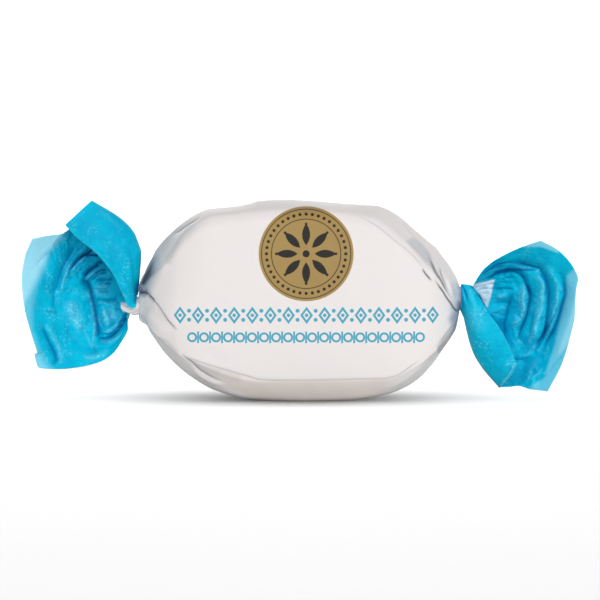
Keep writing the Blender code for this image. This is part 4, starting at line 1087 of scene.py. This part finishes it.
def disc_print(node, x, z, settings):
    """The gold disc's mask, and the mask of its dark ornament."""
    x = node("Math", x, settings.disc_x / MM, operation="SUBTRACT")
    z = node("Math", z, settings.disc_z / MM, operation="SUBTRACT")
    radius = node("Math", squares(node, x, z), operation="SQRT")
    angle = node("Math", z, x, operation="ARCTAN2")

    def repeated(count):
        """How far round a place is from the nearest of the spokes, as a share of the step between two."""
        turns = node("Math", angle, count / (2.0 * math.pi), operation="MULTIPLY")
        turns = node("Math", turns, count + 0.5, operation="ADD")
        return node("Math", node("Math", turns, operation="FRACT"), 0.5, operation="SUBTRACT")

    marks = [(radius, DISC_DOT, INK_EDGE)]
    for at, half_width in DISC_RINGS:
        out = node("Math", radius, at, operation="SUBTRACT")
        marks.append((node("Math", out, operation="ABSOLUTE"), half_width, INK_EDGE))
    for count, at, size in DISC_BEADS:
        across = node("Math", repeated(count), 2.0 * math.pi * at / count, operation="MULTIPLY")
        out = node("Math", radius, at, operation="SUBTRACT")
        marks.append((node("Math", squares(node, across, out), operation="SQRT"), size, INK_EDGE))
    count, at, half_length, half_width = DISC_ALMONDS
    turn = node("Math", repeated(count), 2.0 * math.pi / count, operation="MULTIPLY")
    across = node("Math", node("Math", turn, radius, operation="MULTIPLY"), operation="ABSOLUTE")
    out = node("Math", node("Math", radius, at, operation="SUBTRACT"), half_length, operation="DIVIDE")
    fullness = node("Math", 1.0, node("Math", out, out, operation="MULTIPLY"), operation="SUBTRACT")
    limit = node("Math", fullness, half_width, operation="MULTIPLY")
    marks.append((node("Math", across, limit, operation="SUBTRACT"), 0.0, INK_EDGE))
    return inked(node, [(radius, settings.disc_radius / MM, DISC_EDGE)]), inked(node, marks)


# The ornament rows, in millimetres: half height, left end, pitch and count of the cells.
UPPER_ROW = (1.75, -27.6, 3.84, 15)
LOWER_ROW = (1.25, -24.4, 2.55, 20)
CELL_EDGE = 0.001
# A lozenge: half its width as a share of the pitch, where its outline lies and half the outline's width, as
# shares of its size, and the square of its dot's radius.
LOZENGE_HALF = 0.33
LOZENGE_OUTLINE, OUTLINE_HALF = 0.84, 0.23
LOZENGE_DOT = 0.14
# The pairs of dots: their height as a share of the half height, and the square of their radius. Then how
# soft the edges of the outlines and of the pairs are.
PAIR_HEIGHT, PAIR_DOT = 0.55, 0.18
OUTLINE_EDGE, PAIR_EDGE = 0.04, 0.06
# A ring's radius as a share of the half height, half the width of its line, and half the width of a dash.
RING_RADIUS = 0.68
RING_HALF = 0.22
DASH_HALF = 0.2


def row_cells(node, x, z, middle, left, pitch, count):
    """Equal cells in a row: how far a place is from its cell's middle, the row's line and the cell's joint.

    Two masks come after them: the whole row, and the row without the outer half of its end cells.
    """
    place = node("Math", node("Math", x, left, operation="SUBTRACT"), pitch, operation="DIVIDE")
    within = node("Math", node("Math", place, operation="FRACT"), 0.5, operation="SUBTRACT")
    side = node("Math", node("Math", within, pitch, operation="MULTIPLY"), operation="ABSOLUTE")
    high = node("Math", node("Math", z, middle, operation="SUBTRACT"), operation="ABSOLUTE")
    joint = node("Math", 0.5 * pitch, side, operation="SUBTRACT")
    from_middle = node("Math", node("Math", place, 0.5 * count, operation="SUBTRACT"), operation="ABSOLUTE")
    masks = (inked(node, [(from_middle, reach, CELL_EDGE)]) for reach in (0.5 * count, 0.5 * count - 0.5))
    return side, high, joint, *masks


def lozenge_row(node, x, z, middle, half_height, left, pitch, count):
    """A row of outlined lozenges with a dot in each and a pair of dots between them."""
    side, high, joint, row, joints = row_cells(node, x, z, middle, left, pitch, count)
    slants = (node("Math", way, size, operation="DIVIDE")
              for way, size in ((side, LOZENGE_HALF * pitch), (high, half_height)))
    slant = node("Math", node("Math", *slants, operation="ADD"), LOZENGE_OUTLINE, operation="SUBTRACT")
    lozenges = inked(node, [
        (node("Math", slant, operation="ABSOLUTE"), OUTLINE_HALF, OUTLINE_EDGE),
        (squares(node, side, high), LOZENGE_DOT, INK_EDGE),
    ])
    from_dot = node("Math", high, PAIR_HEIGHT * half_height, operation="SUBTRACT")
    dots = inked(node, [(squares(node, joint, from_dot), PAIR_DOT, PAIR_EDGE)])
    dots = node("Math", dots, joints, operation="MULTIPLY")
    return node("Math", node("Math", lozenges, dots, operation="MAXIMUM"), row, operation="MULTIPLY")


def ring_row(node, x, z, middle, half_height, left, pitch, count):
    """A row of small rings with an upright dash between each two."""
    side, high, joint, row, joints = row_cells(node, x, z, middle, left, pitch, count)
    radius = node("Math", squares(node, side, high), operation="SQRT")
    from_ring = node("Math", radius, RING_RADIUS * half_height, operation="SUBTRACT")
    rings = inked(node, [(node("Math", from_ring, operation="ABSOLUTE"), RING_HALF, INK_EDGE)])
    narrow = inked(node, [(joint, DASH_HALF, INK_EDGE)])
    low = inked(node, [(high, half_height, OUTLINE_EDGE)])
    dashes = node("Math", node("Math", narrow, low, operation="MULTIPLY"), joints, operation="MULTIPLY")
    return node("Math", node("Math", rings, dashes, operation="MAXIMUM"), row, operation="MULTIPLY")


def white_waxed_tissue(settings):
    """Waxed tissue paper, printed in front. It gives a smooth, softly shining white, with grey shade painted
    into its creases.
    """
    made, node = new_material("white_waxed_tissue")
    place, x, y, z = places(node)
    # cooler patches about 8 mm wide, in the paper and in the gold ink
    cloud = node("TexNoise", place, inputs={"Scale": 0.12, "Detail": 3.0})
    # the print lies on the paper in front of the middle, and begins 1 to 2 mm before it
    front = node("MapRange", y, -1.0, -2.0)
    disc, ornament = disc_print(node, x, z, settings)
    gold = layered(node, settings.gold, [(cloud, settings.gold_dark), (ornament, settings.disc_ink)])
    upper = lozenge_row(node, x, z, settings.upper_row_z / MM, *UPPER_ROW)
    lower = ring_row(node, x, z, settings.lower_row_z / MM, *LOWER_ROW)
    rows = node("Math", upper, lower, operation="MAXIMUM")
    colour = layered(node, settings.paper, [
        (cloud, settings.paper_cool),
        # double paper, and painted shade at the twists and the turned-under corners
        ("ply", settings.paper_double_and_shade),
        ("warm", settings.paper_warm),
        # blue showing through, with painted shade at the twists
        ("tint_and_shade", settings.paper_tinted_and_shaded),
        (node("Math", rows, front, operation="MULTIPLY"), settings.row_ink),
        (node("Math", disc, front, operation="MULTIPLY"), gold),
        # painted shade along the creases and where the paper turns away
        ("crease_shade", settings.crease_shade),
    ])
    # fibres about 0.6 mm apart, coarser than the real ones so that they show
    fibres = node("TexNoise", place, inputs={"Scale": 1.6, "Detail": 4.0, "Roughness": 0.6})
    relief = node("Bump", inputs={"Height": fibres, "Strength": 0.12, "Distance": 0.12 * MM})
    return finished(made, {"Base Color": colour, "Normal": relief, "Roughness": 0.5, "IOR": 1.45,
                           "Specular IOR Level": 0.3})


# Patterns in the blue ink, as (noise scale to a millimetre, detail, and the two values between which it
# comes in): darker patches about 4 mm wide, flecks of worn wax about 0.6 mm wide, and the patches about
# 3 mm wide that they lie in.
INK_PATTERNS = [(0.28, 3.0, 0.35, 0.65), (1.7, 2.0, 0.5, 0.68), (0.34, 2.0, 0.5, 0.75)]
# How pale the worn flecks are, how strong the painted highlight on the ridges is at the least, how strong
# the painted shade in a crease is, and how far from its edge a facet slopes.
FLECK_STRENGTH, RIDGE_HIGHLIGHT = 0.6, 0.3
CREASE_SHADE_STRENGTH = 0.85
FACET_SLOPE = 0.25


def blue_waxed_tissue(settings):
    """The same tissue, printed blue. Single paper shows lighter, wax rubs off in pale specks, and its
    creases and ridges have painted shade and painted highlight.
    """
    made, node = new_material("blue_waxed_tissue")
    place = places(node)[0]
    deep, flecks, patches = (
        node("MapRange", node("TexNoise", place, inputs={"Scale": scale, "Detail": detail}), low, high)
        for scale, detail, low, high in INK_PATTERNS
    )
    light, pale, crease_shade = (node("Attribute", output="Fac", attribute_name=name)
                           for name in ("light", "pale", "crease_shade"))
    # worn wax in flecks, and painted highlight on ridges, hems and the curled end
    worn_and_highlight = node("Math", flecks, node("Math", patches, pale, operation="MAXIMUM"), operation="MULTIPLY")
    worn_and_highlight = node("Math", worn_and_highlight, FLECK_STRENGTH, operation="MULTIPLY")
    worn_and_highlight = node("Math", worn_and_highlight, node("Math", pale, RIDGE_HIGHLIGHT, operation="MULTIPLY"), operation="ADD")
    # over the blue: darker patches, lighter single paper, worn wax with painted highlight, painted shade in
    # creases and shaded zones, and the unprinted throat
    colour = layered(node, settings.blue, [
        (deep, settings.blue_deep),
        (light, settings.blue_single),
        (worn_and_highlight, settings.wax_speck_and_highlight),
        (node("Math", crease_shade, CREASE_SHADE_STRENGTH, operation="MULTIPLY"), settings.blue_crease_shade),
        ("bare", settings.throat),
    ])
    # crumples about 1.3 mm wide, and the edges of facets about 1.8 mm wide where the paper is double
    crumple = node("TexNoise", place, inputs={"Scale": 0.8, "Detail": 5.0, "Roughness": 0.62})
    facets = node("TexVoronoi", place, inputs={"Scale": 0.55}, output="Distance", feature="DISTANCE_TO_EDGE")
    double = node("Math", 1.0, light, operation="SUBTRACT")
    edges = node("Math", facets, FACET_SLOPE, operation="MINIMUM")
    edges = node("Math", edges, double, operation="MULTIPLY")
    height = node("Math", crumple, edges, operation="ADD")
    relief = node("Bump", inputs={"Height": height, "Strength": 0.6, "Distance": 0.3 * MM})
    return finished(made, {"Base Color": colour, "Normal": relief, "Roughness": 0.5, "IOR": 1.45,
                           "Specular IOR Level": 0.08})


def by_ray(node, bounced, seen):
    """One value for light that bounces, and another for what the camera sees."""
    camera = node("LightPath", output="Is Camera Ray")
    return node("MapRange", camera, inputs={"To Min": bounced, "To Max": seen})


def seamless_backdrop(settings):
    """Matt card that is seen as clean white, with the object's soft shadow on it.

    Light bounces off it as off pale grey card, so that the folds of the paper keep their shade.
    """
    made, node = new_material("white_card")
    tone = by_ray(node, settings.card_bounce, settings.card_white)
    return finished(made, {"Base Color": tone, "Roughness": 0.9})


# Settings

def colour_setting(name, description, code):
    return FloatVectorProperty(name=name, description=description, subtype="COLOR", size=4, min=0.0, max=1.0,
                               default=(*linear(code), 1.0))


def length_setting(name, description, millimetres):
    return FloatProperty(name=name, description=description, subtype="DISTANCE", unit="LENGTH",
                         default=millimetres * MM)


class WrapperSettings(bpy.types.PropertyGroup):
    """Sizes and colours of the white middle and its print."""
    stations: IntProperty(name="Stations", description="Sections between the twists", default=262, min=60)
    disc_x: length_setting("Disc X", "Middle of the gold disc along the wrapper", 1.1)
    disc_z: length_setting("Disc Z", "Height of the gold disc's middle", 31.65)
    disc_radius: length_setting("Disc radius", "Radius of the gold disc", 10.05)
    upper_row_z: length_setting("Upper row", "Height of the upper ornament row", 18.6)
    lower_row_z: length_setting("Lower row", "Height of the lower ornament row", 13.9)
    paper: colour_setting("Paper", "White waxed tissue", "#EDE7E4")
    paper_cool: colour_setting("Paper, cool", "The tissue's cooler patches", "#EAE6E6")
    # Double paper, also used as painted shade at the twists and the turned-under corners.
    paper_double_and_shade: colour_setting("Double paper", "Two layers of the tissue", "#C3C6CC")
    paper_warm: colour_setting("Warm paper", "Where the biscuit shows through", "#E8E0DA")
    # Blue showing through, darkened as painted shade at the twists.
    paper_tinted_and_shaded: colour_setting("Tinted paper", "Where the blue ends show through", "#A9B2CC")
    # Painted shade: the grey mixed into the paper along creases and where it turns away.
    crease_shade: colour_setting("Crease", "The paper deep in a crease", "#5E6068")
    row_ink: colour_setting("Row ink", "Ink of the ornament rows", "#47A6C0")
    gold: colour_setting("Gold", "The disc's gold ink", "#AE8F50")
    gold_dark: colour_setting("Gold, dark", "The gold ink's darker patches", "#A08450")
    disc_ink: colour_setting("Disc ink", "Ink of the disc's ornament", "#1E1A14")


class FanSettings(bpy.types.PropertyGroup):
    """Sizes and colours of the blue fans."""
    cells_across: IntProperty(name="Cells across", description="Cells from edge to rim", default=224, min=50)
    cells_along: IntProperty(name="Cells along", description="Cells from throat to end", default=204, min=20)
    thickness: length_setting("Thickness", "Thickness of the crumpled tissue", 0.12)
    blue: colour_setting("Blue", "The fans' blue ink", "#00BCDC")
    blue_deep: colour_setting("Deep blue", "The blue ink's darker patches", "#00AED2")
    # Painted shade: the blue mixed in deep in creases and where a fan lies in shade.
    blue_crease_shade: colour_setting("Crease blue", "The blue ink deep in a crease", "#00609F")
    blue_single: colour_setting("Single ply", "The blue where the paper is single", "#A4E6F8")
    # Worn wax in flecks, and painted highlight on ridges, hems and the curled end.
    wax_speck_and_highlight: colour_setting("Worn ink", "Where the ink is worn pale, on ridges and in flecks", "#7ADCF0")
    throat: colour_setting("Throat", "The unprinted paper in the throat", "#E2F2FA")


class StageSettings(bpy.types.PropertyGroup):
    """The floor, the lights and the camera."""
    card_white: FloatProperty(name="Card white", description="How bright the card is seen", default=0.35)
    card_bounce: FloatProperty(name="Card bounce", description="Light that the card gives back", default=0.2)
    elevation: FloatProperty(name="Elevation", description="The camera's angle above the floor",
                             unit="ROTATION", subtype="ANGLE", default=VIEW_ELEVATION)
    lens: FloatProperty(name="Lens", description="The camera's focal length", default=135.0)
    view_width: length_setting("View width", "Width of the frame at the object", 129.9)
    aim_x: length_setting("Aim X", "The frame's middle along the wrapper", -0.2)
    aim_z: length_setting("Aim Z", "The frame's middle above the floor", VIEW_MIDDLE)


# Operators

class POLVORON_OT_wrapped_middle(bpy.types.Operator):
    """Adds the white wrapped middle with its print and its twisted stems"""
    bl_idname = "polvoron.wrapped_middle"
    bl_label = "Wrapped middle"

    def execute(self, context):
        settings = context.scene.polvoron_wrapper
        points, layers = wrapped_points(settings.stations)
        made = sheet_mesh("white_wrapper", points, layers, closed=True)
        made.data.materials.append(white_waxed_tissue(settings))
        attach(made, "root")
        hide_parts("wrapped_middle")
        return {"FINISHED"}


class POLVORON_OT_paper_fans(bpy.types.Operator):
    """Adds the blue paper fan at each end"""
    bl_idname = "polvoron.paper_fans"
    bl_label = "Paper fans"

    def execute(self, context):
        settings = context.scene.polvoron_fans
        material = blue_waxed_tissue(settings)
        across = np.linspace(0.0, 1.0, settings.cells_across + 1)
        on_flap, on_bowl = across / FLAP_SHARE - 1.0, (across - FLAP_SHARE) / (1.0 - FLAP_SHARE)
        u = np.where(across < FLAP_SHARE, on_flap, on_bowl)
        b, u = np.meshgrid(np.linspace(0.0, 1.0, settings.cells_along + 1), u, indexing="ij")
        for name, (node, fan) in FANS.items():
            points, layers = fan_points(fan, u, b)
            made = sheet_mesh(name, points, layers, closed=False)
            wall = made.modifiers.new("paper", "SOLIDIFY")
            wall.thickness = settings.thickness
            wall.offset = 0.0
            made.data.materials.append(material)
            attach(made, "root")
            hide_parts(node)
        return {"FINISHED"}


class POLVORON_OT_stage(bpy.types.Operator):
    """Adds the white card, the soft lights and the camera"""
    bl_idname = "polvoron.stage"
    bl_label = "Stage"

    def execute(self, context):
        settings = context.scene.polvoron_stage
        add_lights(add_card(settings), add_flag())
        add_camera(settings)
        context.scene.view_settings.view_transform = "Standard"
        return {"FINISHED"}


# The card, in metres: its width, its front edge, where it bends up, the radius of the bend and its height.
CARD_WIDTH = 1.3
CARD_FRONT = -0.36
CARD_BEND = 0.5
CARD_RADIUS = 0.25
CARD_HEIGHT = 1.2
BEND_STEPS = 12


def add_card(settings):
    """White card that runs back over the table and bends up behind the object."""
    mesh = bmesh.new()
    profile = [(CARD_FRONT, 0.0), (CARD_BEND, 0.0)]
    for k in range(1, BEND_STEPS + 1):
        angle = math.radians(90.0) * k / BEND_STEPS
        profile.append((CARD_BEND + CARD_RADIUS * math.sin(angle), CARD_RADIUS * (1.0 - math.cos(angle))))
    profile.append((CARD_BEND + CARD_RADIUS, CARD_HEIGHT))
    bmesh.ops.create_grid(mesh, x_segments=1, y_segments=len(profile) - 1, size=1.0)
    for vertex in mesh.verts:
        y, z = profile[round((vertex.co.y + 1.0) / 2.0 * (len(profile) - 1))]
        vertex.co = Vector((vertex.co.x * CARD_WIDTH / 2.0, y, z))
    made = add_object("card", mesh)
    made.data.materials.append(seamless_backdrop(settings))
    return made


# Each light: name, place, place that it faces, width, height, watts, and what it lights.
LIGHTS = [
    ("key_softbox", (-0.1, -0.9, 0.4), (0.0, 0.0, 0.02), 0.6, 0.5, 2.95, "middle"),
    ("low_softbox", (0.1, -0.9, 0.05), (0.0, 0.0, 0.02), 1.2, 0.1, 2.7, "middle"),
    ("fill_softbox", (0.7, -0.6, 0.12), (0.0, 0.0, 0.02), 0.6, 0.4, 1.6, "middle"),
    ("corner_softbox", (0.6, -0.4, 0.6), (0.0, 0.0, 0.02), 0.4, 0.4, 0.8, "middle"),
    ("raking_softbox", (-0.3, -0.65, 0.65), (0.0, 0.0, 0.02), 0.35, 0.35, 2.9, "fans"),
    ("front_softbox", (0.0, -0.9, 0.3), (0.0, 0.0, 0.02), 0.6, 0.4, 4.0, "fans"),
    ("side_softbox", (0.6, -0.7, 0.2), (0.0, 0.0, 0.02), 0.4, 0.4, 1.9, "fans"),
    ("top_softbox", (0.0, 0.1, 0.8), (0.0, 0.0, 0.0), 1.4, 0.9, 2.9, "object"),
    ("back_softbox", (0.0, 0.45, 0.17), (0.0, 0.0, 0.02), 0.6, 0.06, 0.7, "object"),
    ("floor_softbox", (0.0, 0.0, 0.9), (0.0, 0.0, 0.0), 0.81, 0.344, 21.2, "shaded card"),
    ("floor_fill_softbox", (0.0, 0.0, 0.95), (0.0, 0.0, 0.0), 1.0, 1.0, 5.5, "card"),
    ("wall_softbox", (0.0, 0.42, 0.45), (0.0, 0.75, 0.15), 1.8, 0.4, 15.0, "card"),
]
# The flag, in millimetres: a small oval that keeps the floor light off the card under the object. At a power
# of 2 it would be a plain oval, and above that its sides are fuller.
FLAG_RADII = (27.2, 17.4)
FLAG_POWER = 2.3
FLAG_PLACE = (-0.5, 2.1, 40.0)
WORLD_STRENGTH = 0.1


def add_flag():
    """The flag over the floor, which is never seen itself. It gives the object its soft, wide shadow."""
    mesh = bmesh.new()
    bmesh.ops.create_circle(mesh, cap_ends=True, segments=96, radius=1.0)
    for vertex in mesh.verts:
        across, along = (math.copysign(abs(side) ** (2.0 / FLAG_POWER), side) for side in vertex.co.xy)
        place = Vector((across * FLAG_RADII[0], along * FLAG_RADII[1], 0.0)) + Vector(FLAG_PLACE)
        vertex.co = place * MM
    flag = add_object("flag", mesh)
    for ray in ("camera", "diffuse", "glossy", "transmission", "volume_scatter"):
        setattr(flag, "visible_" + ray, False)
    return flag


def linked_collection(name, things, state="INCLUDE"):
    """A collection for light linking, which includes or excludes the things in it."""
    made = bpy.data.collections.new(name)
    for thing in things:
        made.objects.link(thing)
    for member in made.collection_objects:
        member.light_linking.link_state = state
    return made


def add_lights(card, flag):
    """Soft studio light. Middle, fans and card are lit apart, and only the flag shades the card."""
    objects = bpy.data.objects
    all_but_card = linked_collection("all_but_card", [card], "EXCLUDE")
    all_but_flag = linked_collection("all_but_flag", [flag], "EXCLUDE")
    middle = linked_collection("middle", [objects["white_wrapper"]])
    fans = linked_collection("fans", [objects[name] for name in FANS])
    card_only = linked_collection("card", [card])
    flag_only = linked_collection("flag_only", [flag])
    # for each word in the table, what the light falls on and what shades it
    links = {
        "object": (all_but_card, all_but_flag),
        "middle": (middle, all_but_flag),
        "fans": (fans, all_but_flag),
        "shaded card": (card_only, flag_only),
        "card": (card_only, card_only),
    }
    for name, place, target, width, height, watts, lit in LIGHTS:
        lamp = bpy.data.lights.new(name, "AREA")
        lamp.shape = "RECTANGLE"
        lamp.size, lamp.size_y = width, height
        lamp.energy = watts
        made = bpy.data.objects.new(name, lamp)
        made.location = place
        made.rotation_euler = (Vector(target) - Vector(place)).to_track_quat("-Z", "Y").to_euler()
        bpy.context.scene.collection.objects.link(made)
        made.light_linking.receiver_collection, made.light_linking.blocker_collection = links[lit]
    world = bpy.data.worlds.new("studio")
    world.use_nodes = True
    tree = world.node_tree
    background = tree.nodes["Background"]
    background.inputs["Color"].default_value = (1.0, 1.0, 1.0, 1.0)
    tree.links.new(by_ray(partial(add_node, tree), WORLD_STRENGTH, 1.0), background.inputs["Strength"])
    bpy.context.scene.world = world


def add_camera(settings):
    """A long lens, a little above the table, that frames the object as the photograph does."""
    lens = bpy.data.cameras.new("camera")
    lens.lens = settings.lens
    camera = bpy.data.objects.new("camera", lens)
    distance = settings.view_width * settings.lens / lens.sensor_width
    aim = Vector((settings.aim_x, 0.0, settings.aim_z))
    back = Vector((0.0, -math.cos(settings.elevation), math.sin(settings.elevation)))
    camera.location = aim + back * distance
    camera.rotation_euler = (-back).to_track_quat("-Z", "Y").to_euler()
    bpy.context.scene.collection.objects.link(camera)
    bpy.context.scene.camera = camera


# Each group of settings, with the operator that uses it, in the order in which they run.
GROUPS = {
    "polvoron_wrapper": (WrapperSettings, POLVORON_OT_wrapped_middle),
    "polvoron_fans": (FanSettings, POLVORON_OT_paper_fans),
    "polvoron_stage": (StageSettings, POLVORON_OT_stage),
}


class POLVORON_PT_panel(bpy.types.Panel):
    """Lists the polvoron's pieces and its settings"""
    bl_idname = "POLVORON_PT_panel"
    bl_label = "Polvoron"
    bl_space_type = "VIEW_3D"
    bl_region_type = "UI"
    bl_category = "Polvoron"

    def draw(self, context):
        for group, (kind, operator) in GROUPS.items():
            box = self.layout.box()
            for name in kind.__annotations__:
                box.prop(getattr(context.scene, group), name)
            box.operator(operator.bl_idname)


CLASSES = (*(kind for pair in GROUPS.values() for kind in pair), POLVORON_PT_panel)


def register():
    for kind in CLASSES:
        bpy.utils.register_class(kind)
    for group, (kind, _) in GROUPS.items():
        setattr(bpy.types.Scene, group, PointerProperty(type=kind))


def unregister():
    for group in GROUPS:
        delattr(bpy.types.Scene, group)
    for kind in reversed(CLASSES):
        bpy.utils.unregister_class(kind)


def main():
    register()
    bpy.ops.polvoron.wrapped_middle()
    bpy.ops.polvoron.paper_fans()
    bpy.ops.polvoron.stage()


if __name__ == "__main__":
    main()
